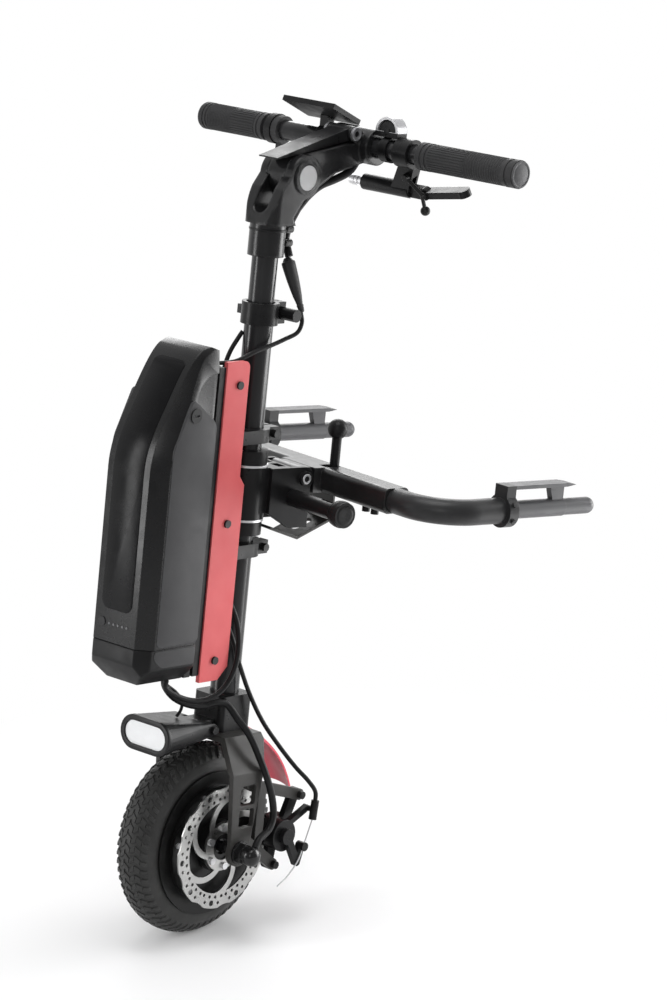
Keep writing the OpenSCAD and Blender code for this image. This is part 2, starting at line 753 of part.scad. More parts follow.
rail_w = 52;
rail_back = -73;
rail_front = -96;
rail_low = 72;
rail_high = 411;
battery_back = rail_front - seat;
battery_front = battery_back - battery_d;
battery_half = battery_w / 2;
base_low = 71;
base_top = base_low + base_h;
case_low = base_top + seat;
case_high = case_low + battery_h;
rail_lip = 4;
module battery_rail() color("#141415") at_crown() translate([0, 0, rail_low])
    linear_extrude(rail_high - rail_low) difference() {
        translate([-rail_w / 2, rail_front]) square([rail_w, rail_back - rail_front]);
        both_sides() translate([rail_w / 2 - rail_lip, (rail_front + rail_back) / 2 - rail_lip / 2])
            square([rail_lip + cut, rail_lip]);
    }

// Half width of the battery's narrow front face, and depth of the bevels beside it
nose_half = 31;
nose_bevel = 16;
rear_round = 6;
module battery_plan() {
    polygon([
        [-nose_half, battery_front], [nose_half, battery_front], [battery_half, battery_front + nose_bevel],
        [battery_half, battery_back - rear_round], [battery_half - rear_round, battery_back],
        [rear_round - battery_half, battery_back], [-battery_half, battery_back - rear_round],
        [-battery_half, battery_front + nose_bevel]]);
}
knee_share = 0.665;
knee_z = case_low + knee_share * battery_h;
brow_back = 53;
brow_down = 7;
brow_flat = 22;
scoop_r = 34;
scoop_share = 0.8075;
// Where the soft bends begin and end, as shares of the straight runs beside them
brow_ease_share = [0.5, 0.35];
knee_ease_share = [0.3, 0.12];
soft_steps = 6;
// A soft bend at b, from the share u of the way to a, to the share v of the way to c
function eased(a, b, c, u, v) = [
    for (i = [0 : soft_steps])
        let (t = i / soft_steps)
            (1 - t) * (1 - t) * (b + u * (a - b)) + 2 * t * (1 - t) * b + t * t * (b + v * (c - b))];
battery_foot = [battery_front, case_low];
battery_knee = [battery_front, knee_z];
battery_brow = [battery_front + brow_back, case_high - brow_down];
battery_crest = [battery_front + brow_back + brow_flat, case_high];
module battery_side() polygon([
    battery_foot, [battery_back, case_low], [battery_back, case_high - brow_down / 2], battery_crest,
    each eased(battery_crest, battery_brow, battery_knee, brow_ease_share.x, brow_ease_share.y),
    each eased(battery_brow, battery_knee, battery_foot, knee_ease_share.x, knee_ease_share.y)]);
taper_from = 85;
taper_in = 10;
module battery_front_view() polygon([
    [-battery_half, case_low], [battery_half, case_low], [battery_half, case_high - taper_from],
    [battery_half - taper_in, case_high], [taper_in - battery_half, case_high],
    [-battery_half, case_high - taper_from]]);
panel_t = 2;
label_w = 44;
label_d = 0.8;
label_margin = 34;
label_h = (1 - knee_ease_share.y) * (knee_z - case_low) - label_margin - rear_round;
scoop_in = 9;
module battery_block() intersection() {
    translate([0, 0, case_low]) linear_extrude(battery_h) battery_plan();
    across(0, battery_w) battery_side();
    translate([0, battery_back, 0]) rotate([90, 0, 0]) linear_extrude(battery_d) battery_front_view();
}
button_x = -20;
button_r = 5;
button_up = 20;
button_h = 3;
button_travel = 1.5;
button_proud = 0.8;
lock_y = -134;
lock_share = 0.7826;
lock_z = case_low + lock_share * battery_h;
lock_r = 8;
lock_l = 12;
module battery_case() color("#1a1a1c") at_crown() difference() {
    battery_block();
    across(battery_half, 2 * panel_t) panel_outline();
    across(-battery_half, 2 * panel_t) panel_outline();
    both_sides() translate([battery_half, battery_back, case_low + scoop_share * battery_h]) rotate([0, 90, 0])
        cylinder(r = scoop_r, h = 2 * scoop_in, center = true);
    translate([-label_w / 2, battery_front - cut, case_low + label_margin])
        cube([label_w, label_d + cut, label_h]);
    translate([button_x, battery_front + button_h + button_travel, case_low + button_up]) rotate([90, 0, 0])
        cylinder(r = button_r + seat, h = button_h + button_travel + cut);
    cell_bay(0);
    translate([0, lock_y, lock_z]) rod(battery_half - lock_l, battery_w, lock_r + seat);
}
panel_front_in = 18;
panel_rear_in = 4;
panel_rear_up_share = 0.75;
panel_peak_share = 0.84;
panel_margin = 2;
module panel_outline() polygon([
    [battery_front + panel_front_in, case_low + panel_margin],
    [battery_back - panel_rear_in, case_low + panel_margin],
    [battery_back - panel_rear_in, case_low + panel_rear_up_share * battery_h],
    [battery_back - battery_d / 2, case_low + panel_peak_share * battery_h],
    [battery_front + panel_front_in, knee_z]]);
module battery_panels() color("#4a4b4f") at_crown() both_sides()
    across_from(battery_half - panel_t + run, battery_half) difference() {
        panel_outline();
        translate([lock_y, lock_z]) circle(r = lock_r + panel_t);
    }
module battery_lock() color("#2c2c2f") at_crown() translate([0, lock_y, lock_z]) difference() {
    rod(battery_half - lock_l + seat, battery_half + panel_t, lock_r);
    translate([battery_half, -lock_r / 2, -panel_t / 2]) cube([lock_l, lock_r, panel_t]);
}
module power_button() color("#3a3a3d") at_crown()
    translate([button_x, battery_front + button_h - button_proud, case_low + button_up]) rotate([90, 0, 0])
        cylinder(r = button_r, h = button_h);

// Cells inside the case, held by three frames
cell_d = 18.2;
cell_l = 65;
cell_pitch = 19;
cell_nx = 4;
cell_ny = 3;
frame_t = 3;
bay_floor = 5;
bay_back = 6;
// As many layers of cells as fit below the lock
cell_nz = floor((lock_z - lock_r - case_low - bay_floor - 2 * frame_t) / (cell_l + frame_t));
bay_h = cell_nz * (cell_l + frame_t) + frame_t;
bay_front = battery_back - bay_back - cell_ny * cell_pitch;
module cell_bay(inset) translate([inset - cell_nx * cell_pitch / 2, bay_front + inset, case_low + bay_floor])
    cube([cell_nx * cell_pitch - 2 * inset, cell_ny * cell_pitch - 2 * inset, bay_h]);
module battery_cells() color("#3f6f96") at_crown() {
    intersection() {
        cell_bay(run);
        for (k = [0 : cell_nz])
            translate([-battery_half, battery_front, case_low + bay_floor + k * (cell_l + frame_t)])
                cube([battery_w, battery_d, frame_t]);
    }
    for (i = [0 : cell_nx - 1], j = [0 : cell_ny - 1])
        translate([0, bay_front, case_low + bay_floor])
            translate([(i - (cell_nx - 1) / 2) * cell_pitch, (j + 0.5) * cell_pitch, 0])
                cylinder(d = cell_d, h = bay_h);
}

base_toe_up = 24;
base_toe_back = 17;
base_inset = 2;
module battery_base() color("#18181a") at_crown() intersection() {
    translate([0, 0, base_low]) linear_extrude(base_h) battery_plan();
    across(0, battery_w - 2 * base_inset) polygon([
        [battery_front, base_top], [battery_back, base_top], [battery_back, base_low],
        [battery_front + base_toe_back, base_low], [battery_front, base_low + base_toe_up]]);
}

// Height clamp
qr_h = 24;
qr_down = 20;
qr_z = lower_tube_l - qr_down;
qr_r = 20.5;
qr_ear = 31;
qr_ear_w = 18;
qr_slit = 2.5;
qr_bolt_y = 25;
qr_bolt_d = 6;
qr_nut_r = 7;
qr_nut_out = 32;
module qr_collar() color("#1c1c1e") at_crown() translate([0, 0, qr_z]) {
    difference() {
        union() {
            cylinder(r = qr_r, h = qr_h);
            translate([-qr_ear_w / 2, 0, 0]) cube([qr_ear_w, qr_ear, qr_h]);
        }
        translate([0, 0, -cut]) cylinder(d = tube_d + 2 * run, h = qr_h + 2 * cut);
        translate([-qr_slit / 2, 0, -cut]) cube([qr_slit, qr_ear + cut, qr_h + 2 * cut]);
        translate([0, qr_bolt_y, qr_h / 2]) rod(-qr_ear_w, qr_ear_w, qr_bolt_d / 2 + run);
    }
    translate([0, qr_bolt_y, qr_h / 2]) {
        rod(-qr_ear_w / 2 - cam_r, qr_nut_out, qr_bolt_d / 2);
        rod(qr_ear_w / 2, qr_nut_out, qr_nut_r);
    }
}
cam_r = 8;
cam_h = 15;
cam_pin_r = 2;
lever_in = 25.5;
lever_t = 5;
lever_sweep = 62;
lever_h = 10;
cam_x = -qr_ear_w / 2 - cam_r - seat;
module qr_lever() color("#161617") at_crown() translate([0, 0, qr_z + qr_h / 2]) difference() {
    union() {
        translate([cam_x, qr_bolt_y, -cam_h / 2]) cylinder(r = cam_r, h = cam_h);
        translate([0, 0, -lever_h / 2]) rotate(atan2(qr_bolt_y, cam_x)) rotate_extrude(angle = lever_sweep)
            translate([lever_in, 0]) square([lever_t, lever_h]);
    }
    translate([0, qr_bolt_y, 0]) rod(cam_x - cam_pin_r, 0, qr_bolt_d / 2 + seat);
    translate([cam_x - cam_r - cut, qr_bolt_y - qr_bolt_d / 2 - seat, -qr_bolt_d / 2 - seat])
        cube([2 * cam_r + 2 * cut, 2 * cam_r, qr_bolt_d + 2 * seat]);
}

// Cable joint behind the mast, with its lead to the battery rail
rail_end = [0, 0, rail_high];
joint_top = tube_end + [8, 30, 45];
joint_foot = tube_end + [27.5, 35, -1];
joint_top_r = 8;
joint_foot_r = 4;
joint_cable_r = 2.4;
joint_drop = [[28, 35, -5.4], [29, 37, -16], [28, 32, -27], [25, 16, -34]];
joint_run = [[23, -2, 20], [21, -24, 14], [17, -46, 5], [14, -60, 2.8], [12, -80, 2.8]];
joint_route = [for (p = joint_drop) p + tube_end, for (p = joint_run) p + rail_end];
module connector() color("#3c3c40") at_crown() {
    hull() {
        translate(joint_top) sphere(r = joint_top_r, $fn = 24);
        translate(joint_foot) sphere(r = joint_foot_r, $fn = 24);
    }
    cable(joint_route, joint_cable_r, [1, 0, 0]);
}
bundle_r = 4.5;
bundle_run = [
    [4, 112, 139], [2, 98, 135], [-2, 80, 128], [-4, 64, 117], [-5, 50, 103], [-5, 39, 85], [-3, 33, 69],
    [3, 31, 61], [7, 30.5, 53.4]];
bundle_route = [for (p = bundle_run) p + tube_end];
module cable_bundle() color("#171718") at_crown() cable(bundle_route, bundle_r, [1, 0, 0]);

// Mast and stem

mast_in = 146;
mast_low = lower_tube_l - mast_in;
sleeve_up = 54.5;
sleeve_low = lower_tube_l + sleeve_up;
sleeve_h = 35;
sleeve_r = 19.8;
sleeve_top = sleeve_low + sleeve_h;
mast_slot_w = 4;
mast_slot_up = 9;
mast_slot_low = lower_tube_l + mast_slot_up;
mast_slot_h = 36;
module upper_tube() color("#262628") at_crown() difference() {
    translate([0, 0, mast_low]) cylinder(d = mast_d, h = sleeve_top - mast_low);
    translate([0, 0, mast_low - cut]) cylinder(d = mast_d - 2 * tube_wall, h = sleeve_top - mast_low + 2 * cut);
    translate([-mast_slot_w / 2, 0, mast_slot_low]) cube([mast_slot_w, mast_d, mast_slot_h]);
}

stem_y = 28.8;
stem_up = 141.4;
stem_z = lower_tube_l + stem_up;
knuckle_r = 24;
cheek_half = 23;
cheek_gap = 13;
bar_y = stem_y + stem_reach;
bar_z = stem_z + stem_rise;
pin_r = 6;
badge_r = 18;
badge_t = 2.2;
neck_front_share = [[-1, 0], [-0.85, 0.28], [-0.3, 0.75], [0.4, 1.1]];
neck_back_share = [[1.6, 0.6], [0.75, 0.15], [0.95, 0]];
neck_h = stem_z - sleeve_top;
module neck_outline() {
    polygon([
        for (p = neck_front_share) [p.x * sleeve_r, sleeve_top + p.y * neck_h],
        for (p = neck_back_share) [p.x * sleeve_r, sleeve_top + p.y * neck_h]]);
    translate([stem_y, stem_z]) circle(r = knuckle_r);
}
neck_plan_r = 13;
neck_window_w = 20;
neck_window_h = 46;
neck_window_down = 17;
sleeve_bolt_x = 11;
sleeve_bolt_share = [0.42, 0.85];
module stem_base() color("#19191b") at_crown() {
    difference() {
        union() {
            translate([0, 0, sleeve_low]) cylinder(r = sleeve_r, h = sleeve_h);
            intersection() {
                across(0, 2 * cheek_half) neck_outline();
                translate([0, stem_y, sleeve_top - cut]) linear_extrude(neck_h + 2 * knuckle_r)
                    round_rect(2 * cheek_half, 2 * (stem_y + sleeve_r), neck_plan_r);
            }
        }
        translate([0, 0, sleeve_low - cut]) cylinder(d = mast_d + 2 * run, h = sleeve_h + cut);
        translate([0, stem_y, stem_z]) rod(-cheek_gap, cheek_gap, knuckle_r + 2 * seat);
        translate([-cheek_gap, -sleeve_r, stem_z]) cube([2 * cheek_gap, 2 * stem_y, 2 * knuckle_r]);
        translate([0, stem_y, stem_z - neck_window_down]) rotate([90, 0, 0])
            linear_extrude(stem_y + 2 * sleeve_r)
                round_rect(neck_window_w, neck_window_h, neck_window_w / 2 - run);
        translate([0, stem_y, stem_z]) rod(-fork_w, fork_w, pin_r + run);
    }
    for (z = sleeve_bolt_share * sleeve_h)
        translate([sleeve_bolt_x, sleeve_r * cos(asin(sleeve_bolt_x / sleeve_r)) - cut, sleeve_low + z])
            rotate([-90, 0, 0]) cylinder(r = bolt_head_r, h = 2 * bolt_head_h);
    translate([0, stem_y, stem_z]) {
        rod(-cheek_half, cheek_half, pin_r);
        both_sides() rod(cheek_half, cheek_half + badge_t, badge_r);
    }
}

clamp_half = 29;
bar_clamp_r = 20;
arm_half = 18;
stem_lever_half = 13.5;
stem_lever_r = 8;
lever_bolt_r = 3;
lever_bolt_h = 3;
lever_room = 3;
lever_back = 28;
lever_up = 14;
lever_pin = [bar_y - lever_back, bar_z + lever_up];
// Corners of the stem arm, as shares of the clamp's and the knuckle's radius
arm_clamp_share = [-0.4, -0.9];
arm_knuckle_share = [0.6, -0.78];
arm_sag_share = [0.5, 0.1];
module arm_outline() polygon([
    [stem_y, stem_z + knuckle_r], lever_pin - [stem_lever_r, stem_lever_r + lever_room],
    lever_pin - [0, stem_lever_r + lever_room], [bar_y, bar_z],
    [bar_y, bar_z] + bar_clamp_r * arm_clamp_share,
    [stem_y + arm_sag_share.x * stem_reach, stem_z + arm_sag_share.y * stem_rise],
    [stem_y, stem_z] + knuckle_r * arm_knuckle_share]);
module stem_arm() color("#19191b") at_crown() {
    difference() {
        union() {
            translate([0, stem_y, stem_z]) rod(-cheek_gap + seat, cheek_gap - seat, knuckle_r);
            across(0, 2 * (cheek_gap - seat)) arm_outline();
            difference() {
                across(0, 2 * arm_half) arm_outline();
                translate([0, stem_y, stem_z]) rod(-cheek_half, cheek_half, knuckle_r + 2 * seat);
            }
            translate([0, bar_y, bar_z]) rod(-clamp_half, clamp_half, bar_clamp_r);
            both_sides() across_from(stem_lever_half + seat, arm_half)
                link(lever_pin, (lever_pin + [bar_y, bar_z]) / 2, 2 * stem_lever_r);
        }
        translate([0, stem_y, stem_z]) rod(-cheek_half, cheek_half, pin_r + run);
        translate([0, bar_y, bar_z]) rod(-bar_l, bar_l, bar_d / 2 + run);
        translate([0, lever_pin.x, lever_pin.y]) {
            rod(-stem_lever_half - seat, stem_lever_half + seat, stem_lever_r + 2 * seat);
            rod(-fork_w, fork_w, lever_bolt_r + run);
        }
    }
    translate([0, lever_pin.x, lever_pin.y]) {
        rod(-arm_half, arm_half, lever_bolt_r);
        both_sides() rod(arm_half, arm_half + lever_bolt_h, 2 * lever_bolt_r);
    }
}

// Tip of the long lever that frees the stem
lever_tip_y = -10;
lever_tip_up = 19.1;
lever_tip = [lever_tip_y, stem_z + lever_tip_up];
lever_tip_t = 1.5;
lever_top_share = [0.3, 0.9];
lever_mid_share = [0.6, 0];
lever_low_share = [0.3, -0.9];
module stem_lever() color("#222225") at_crown() difference() {
    union() {
        across(0, 2 * stem_lever_half) polygon([
            lever_tip, lever_tip + [0, lever_tip_t], lever_pin + stem_lever_r * lever_top_share,
            lever_pin + stem_lever_r * lever_mid_share, lever_pin + stem_lever_r * lever_low_share,
            [stem_y, stem_z + knuckle_r + 2 * seat]]);
        translate([0, lever_pin.x, lever_pin.y]) rod(-stem_lever_half, stem_lever_half, stem_lever_r);
    }
    translate([0, lever_pin.x, lever_pin.y]) rod(-arm_half, arm_half, lever_bolt_r + run);
}

// Handlebar and its fittings
module on_bar() at_crown() translate([0, bar_y, bar_z]) children();
bar_wall = 2.2;
module handlebar() color("#1b1b1d") on_bar() difference() {
    rod(-bar_l / 2 + cap_t, bar_l / 2 - cap_t, bar_d / 2);
    rod(-bar_l, bar_l, bar_d / 2 - bar_wall);
}
cap_t = 2;
right_grip_from = 134;
grip_ring_w = 6;
grip_ring_up = 1.5;
module grip(from) difference() {
    union() {
        rod(from, bar_l / 2 - cap_t, grip_d / 2);
        rod(from, from + grip_ring_w, grip_d / 2 + grip_ring_up);
        rod(bar_l / 2 - cap_t, bar_l / 2, grip_d / 2 - grip_ring_up);
    }
    rod(0, bar_l / 2 - cap_t, bar_d / 2 + run);
}
module grips() color("#2a2a2c") on_bar() {
    grip(grip_from);
    mirror([1, 0, 0]) grip(right_grip_from);
}

throttle_gap = 6;
throttle_x = throttle_gap - right_grip_from;
throttle_w = 9;
throttle_r = 17;
paddle_ring_r = 15.5;
paddle_l = 25;
paddle_w = 8;
module throttle_body() color("#1d1d1f") on_bar() difference() {
    rod(throttle_x, throttle_x + throttle_w, throttle_r);
    rod(throttle_x - cut, throttle_x + throttle_w + cut, bar_d / 2 + run);
}
module throttle_paddle() color("#2c2c2f") on_bar() difference() {
    across_from(throttle_x + throttle_w + seat, throttle_x + 2 * throttle_w) {
        circle(r = paddle_ring_r);
        link([0, 0], [0, -paddle_l + paddle_w / 2], paddle_w);
    }
    rod(throttle_x - cut, throttle_x + 3 * throttle_w, bar_d / 2 + run);
}

// Brake lever, slung below and behind the bar. Its frame has the bar along X and the lever down -Z.
perch_turn = 25.5;
perch_down = 46.5;
perch_in = 62;
perch_out = 82;
perch_r = 16;
perch_t = 15;
perch_foot = 40;
body_in = -2;
body_out = 66;
body_r = 9;
barrel_x = -22;
barrel_r = 5;
blade_pin_x = 57;
blade_pin_r = 2.5;
blade_root_r = 7;
blade_root_t = 8;
module at_perch() on_bar() rotate([perch_turn, 0, 0]) children();
// A flat outline drawn in (x, z), made thickness t along Y
module along_bar(t) rotate([90, 0, 0]) linear_extrude(t, center = true) children();
module brake_lever_body() color("#19191b") at_perch() {
    difference() {
        union() {
            rod(perch_in, perch_out, perch_r);
            along_bar(perch_t) polygon([
                [perch_in, -bar_d / 2], [perch_out, -bar_d / 2], [perch_out, -perch_r], [body_out, -perch_down],
                [perch_foot, -perch_down]]);
            translate([0, 0, -perch_down]) {
                rod(body_in, body_out, body_r);
                rod(barrel_x, body_in, barrel_r);
            }
        }
        rod(perch_in - cut, perch_out + cut, bar_d / 2 + run);
        translate([blade_pin_x, 0, -perch_down]) {
            along_bar(blade_root_t + 2 * seat) {
                circle(r = blade_root_r + 2 * seat);
                translate([0, -2 * body_r]) square([perch_foot, 4 * body_r]);
            }
        }
        translate([barrel_x - cut, 0, -perch_down]) rod(0, barrel_l, hose_r + run);
    }
    translate([blade_pin_x, 0, -perch_down]) rotate([90, 0, 0])
        cylinder(r = blade_pin_r, h = 2 * body_r * cos(asin(blade_pin_r / body_r)), center = true);
}
barrel_l = 12;
blade_l = 95;
blade_neck = 30;
blade_w = 15;
blade_t = 8;
blade_rise = 10;
module brake_lever() color("#1b1b1d") at_perch() translate([blade_pin_x, 0, -perch_down]) difference() {
    union() {
        along_bar(blade_root_t) link([0, 0], [blade_neck, 0], 2 * blade_root_r);
        translate([blade_neck, 0, 0]) rotate([0, -blade_rise, 0]) linear_extrude(blade_t, center = true)
            link([0, 0], [blade_l - blade_neck - blade_w / 2, 0], blade_w);
    }
    rotate([90, 0, 0]) cylinder(r = blade_pin_r + run, h = blade_w, center = true);
}

// Parking catch, a bent wire with a ball
catch_r = 2.2;
catch_ball_r = 5.4;
catch_y = -11;
catch_pin = [72, -24];
catch_points = [catch_pin, [91, -42], [91, -62]];
catch_hub_r = 4;
catch_hub_l = 6;
catch_bend_r = 2.6;
// A round bar between two points of the (x, z) plane
module stick(a, b, r) translate([a.x, 0, a.y]) rotate([0, atan2(b.x - a.x, b.y - a.y), 0])
    cylinder(r = r, h = norm(b - a));
module park_lock() color("#26262a") at_perch() translate([0, catch_y, 0]) {
    for (i = [0, 1]) stick(catch_points[i], catch_points[i + 1], catch_r);
    translate([catch_points[1].x, 0, catch_points[1].y]) sphere(r = catch_bend_r);
    translate([catch_points[2].x, 0, catch_points[2].y]) sphere(r = catch_ball_r);
    translate([catch_pin.x, 0, catch_pin.y]) rotate([90, 0, 0])
        cylinder(r = catch_hub_r, h = catch_hub_l, center = true);
}

bell_x = 45.5;
bell_r = 16;
bell_t = 3;
bell_w = 16;
bell_up = 20;
module bell() color("#55565a") on_bar() difference() {
    union() {
        rod(bell_x - bell_w / 3, bell_x + bell_w / 3, bar_d / 2 + bell_t);
        translate([bell_x - bell_r, -bell_w / 2, bell_up - 2 * bell_t]) cube([2 * bell_r, bell_w, 2 * bell_t]);
        translate([bell_x, 0, bell_up]) rotate([90, 0, 0]) rotate_extrude(angle = 180)
            translate([bell_r - bell_t, -bell_w / 2]) square([bell_t, bell_w]);
    }
    rod(bell_x - bell_w, bell_x + bell_w, bar_d / 2 + run);
}

display_x = -49;
display_w = 76;
display_d = 49;
display_t = 6;
display_y = -11;
display_z = 31;
display_tilt = -22;
post_w = 11;
module display() color("#26272a") on_bar() {
    translate([display_x, display_y, display_z]) rotate([display_tilt, 0, 0])
        translate([-display_w / 2, -display_d / 2, -display_t / 2]) cube([display_w, display_d, display_t]);
    difference() {
        union() {
            rod(display_x - post_w / 2, display_x + post_w / 2, bar_d / 2 + bell_t);
            translate([display_x - post_w / 2, -post_w / 2, 0]) cube([post_w, post_w, display_z - display_t]);
        }
        rod(display_x - post_w, display_x + post_w, bar_d / 2 + run);
    }
}

// Docking head
pivot_y = 60;
pivot_bolt_r = 5;
pivot_head_r = 8;
pivot_head_h = 4;
cheek_in = 24;
cheek_t = 6;
cheek_round = 12.5;
cheek_front = 14.6;
cheek_lobe = 69;
cheek_low = 228;
cheek_heel = 44;
cheek_toe = 245;
web_back = 26;
roof_back = 44;
roof_t = 5;
head_top = head_mid + head_l / 2;
head_foot = head_mid - head_l / 2;
module cheek_outline() difference() {
    union() {
        polygon([
            [cheek_front, head_top], [pivot_y, head_top], [pivot_y, pivot_up], [cheek_lobe, pivot_up],
            [cheek_lobe, cheek_low], [cheek_heel, cheek_low], [cheek_front, cheek_toe]]);
        translate([pivot_y, pivot_up]) circle(r = cheek_round);
    }
    translate([pivot_y, pivot_up]) circle(r = pivot_bolt_r + run);
}
headset_in = 21;
headset_h = 9;
module head_tube() color("#262628") at_dock() {
    difference() {
        union() {
            translate([0, 0, head_foot]) cylinder(r = head_r, h = head_l);
            both_sides() across_from(cheek_in, cheek_in + cheek_t) cheek_outline();
            translate([-cheek_in - run, 0, cheek_toe])
                cube([2 * cheek_in + 2 * run, web_back, head_top - cheek_toe]);
            translate([-cheek_in - run, 0, head_top - roof_t])
                cube([2 * cheek_in + 2 * run, roof_back, roof_t]);
        }
        translate([0, 0, head_foot - cut]) cylinder(r = headset_in, h = head_l + 2 * cut);
        both_sides() translate([roof_gap, web_back + roof_gap, head_top - 2 * roof_t])
            cube([cheek_in - 2 * roof_gap, roof_back - web_back - 2 * roof_gap, 3 * roof_t]);
        translate([0, plunger_y, plunger_z]) rod(0, fork_w, plunger_pin_r + run);
    }
    translate([0, pivot_y, pivot_up]) {
        rod(-cheek_in - cheek_t, cheek_in + cheek_t, pivot_bolt_r);
        both_sides() rod(cheek_in + cheek_t, cheek_in + cheek_t + pivot_head_h, pivot_head_r);
    }
}
roof_gap = 4;

// Bearings in the head tube, with the bright rings that close it
module headset() color("#c9cacc") at_dock() for (a = [0, 180]) translate([0, 0, head_mid]) rotate([0, a, 0])
    rotate_extrude($fn = 96) translate([0, head_l / 2]) {
        translate([tube_d / 2 + run, -headset_h]) square([headset_in - tube_d / 2 - 2 * run, headset_h]);
        translate([tube_d / 2 + run, 0]) square([head_r + run - tube_d / 2, ring_h]);
    }

// Spring plunger that locks the dock
plunger_y = 46;
plunger_drop = 21;
plunger_z = pivot_up - plunger_drop;
plunger_r = 9.5;
plunger_pin_r = 5;
plunger_in = 30;
plunger_out = 104;
plunger_tip = 6;
knob_r = 14;
knob_l = 18;
knob_edge = 5;
peg_r = 2.2;
peg_x = 84;
peg_reach = 8;
plunger_travel = 13;
module plunger_housing() color("#2b2b2d") at_dock() translate([0, plunger_y, plunger_z]) difference() {
    rod(plunger_in, plunger_out, plunger_r);
    rod(0, fork_w, plunger_pin_r + run);
    translate([peg_x - peg_r - seat, -peg_r - seat, 0])
        cube([plunger_travel + 2 * peg_r + 2 * seat, 2 * peg_r + 2 * seat, 2 * plunger_r]);
}
module plunger_pin() color("#1a1a1b") at_dock() translate([0, plunger_y, plunger_z]) {
    rod(plunger_tip, plunger_out + knob_l / 2, plunger_pin_r);
    rod(plunger_out + seat, plunger_out + knob_l - knob_edge, knob_r - knob_edge / 2);
    rod(plunger_out + knob_edge, plunger_out + knob_l, knob_r);
    translate([peg_x, 0, 0]) cylinder(r = peg_r, h = peg_reach);
}

// Cross beam
beam_front = 83;
beam_d = 33;
beam_drop = 17;
beam_low = pivot_up - beam_drop;
beam_h = 28;
beam_r = 6;
arm_z = beam_low + beam_h / 2;
arm_y = beam_front + beam_d / 2;
spigot_r = 11;
spigot_in = 60;
knuckle_half = 23.5;
knuckle_round = 12.2;
wing_half = 30;
lock_plate_in = 8;
lock_plate_out = 16;
lock_plate_r = 33;
lock_sweep = 36;
plunger_arm = norm([plunger_y - pivot_y, plunger_z - pivot_up]);
plunger_a = atan2(plunger_z - pivot_up, plunger_y - pivot_y);
ball_x = 23;
ball_y = 106;
ball_rod_r = 5.4;
ball_r = 11.3;
ball_up = 335;
ball_pin_r = 3;
ball_hub_r = 7;
ball_slot_front = 9;
width_bolt_in = 92;
width_bolt_out = 107;
width_bolts_x = [width_bolt_in, width_bolt_out];
// A sector of a ring in (y, z), from angle a0 to a1
module sector(r, a0, a1) {
    step = (a1 - a0) / 8;
    reach = r / cos(step / 2);
    polygon([[0, 0], for (i = [0 : 8]) reach * [cos(a0 + i * step), sin(a0 + i * step)]]);
}
module lock_plate() translate([pivot_y, pivot_up]) difference() {
    intersection() {
        circle(r = lock_plate_r);
        sector(2 * lock_plate_r, plunger_a - lock_sweep - 12, plunger_a + 30);
    }
    intersection() {
        difference() {
            circle(r = plunger_arm + plunger_pin_r + seat);
            circle(r = plunger_arm - plunger_pin_r - seat);
        }
        sector(2 * lock_plate_r, plunger_a - lock_sweep, plunger_a);
    }
    for (a = [plunger_a - lock_sweep, plunger_a])
        rotate(a) translate([plunger_arm, 0]) circle(r = plunger_pin_r + 2 * seat);
}
module dock_beam() color("#1e1e20") at_dock() difference() {
    union() {
        across(0, beam_l) translate([arm_y, arm_z]) round_rect(beam_d, beam_h, beam_r);
        across(0, 2 * knuckle_half) {
            translate([pivot_y, pivot_up]) circle(r = knuckle_round);
            translate([pivot_y, beam_low])
                square([beam_front + beam_r - pivot_y, pivot_up + knuckle_round - beam_low - beam_r / 4]);
        }
        across(0, 2 * wing_half) translate([pivot_y + knuckle_round + cut, beam_low])
            square([beam_front - pivot_y - knuckle_round + beam_r, beam_h]);
        across_from(lock_plate_in, lock_plate_out) lock_plate();
    }
    translate([0, pivot_y, pivot_up]) rod(-fork_w, fork_w, pivot_bolt_r + run);
    translate([0, pivot_y, pivot_up]) both_sides() rod(knuckle_half, fork_w, cheek_round + 2 * seat);
    translate([0, arm_y, arm_z]) both_sides() rod(spigot_in - seat, beam_l, spigot_r + run);
    translate([ball_x - ball_hub_r - seat, ball_y - ball_hub_r - ball_slot_front, arm_z - ball_hub_r - seat])
        cube([2 * ball_hub_r + 2 * seat, 2 * ball_hub_r + ball_slot_front, beam_h]);
    translate([0, ball_y, arm_z]) rod(ball_x - 2 * ball_hub_r, ball_x + 2 * ball_hub_r, ball_pin_r + run);
    for (x = width_bolts_x) both_sides() translate([x, arm_y, beam_low - cut])
        cylinder(d = bolt_d + 2 * run, h = beam_h / 2);
}

// Bent strip that rests on the chair's footplate
strip_half = 22;
strip_t = 3;
// Corners of the strip behind the column and above the pivot, as shares of the beam's height
strip_shares = [[0.946, -2], [2.286, -2.464], [3.857, -1.821], [3.964, -1.536], [3.964, -0.661]];
strip_points = [for (p = strip_shares) [beam_h * p.x, pivot_up + beam_h * p.y]];
strip_slot_w = 12;
strip_slot_l = 24;
module latch_plate() color("#242426") at_dock() difference() {
    across(0, 2 * strip_half) difference() {
        for (i = [0 : len(strip_points) - 2]) link(strip_points[i], strip_points[i + 1], strip_t);
        translate([beam_front, beam_low]) square([beam_d, beam_h]);
    }
    translate([0, (strip_points[1].x + strip_points[2].x) / 2, cheek_low - beam_h])
        linear_extrude(beam_h + beam_d) round_rect(strip_slot_w, strip_slot_l, strip_slot_w / 2 - run);
}

width_head_h = 8;
module dock_bolts() color("#161617") at_dock() both_sides() for (x = width_bolts_x) translate([x, arm_y, 0]) {
    translate([0, 0, beam_low - width_head_h]) cylinder(r = bolt_head_r, h = width_head_h);
    translate([0, 0, beam_low - cut]) cylinder(d = bolt_d, h = arm_z - spigot_r - seat - beam_low + cut);
}

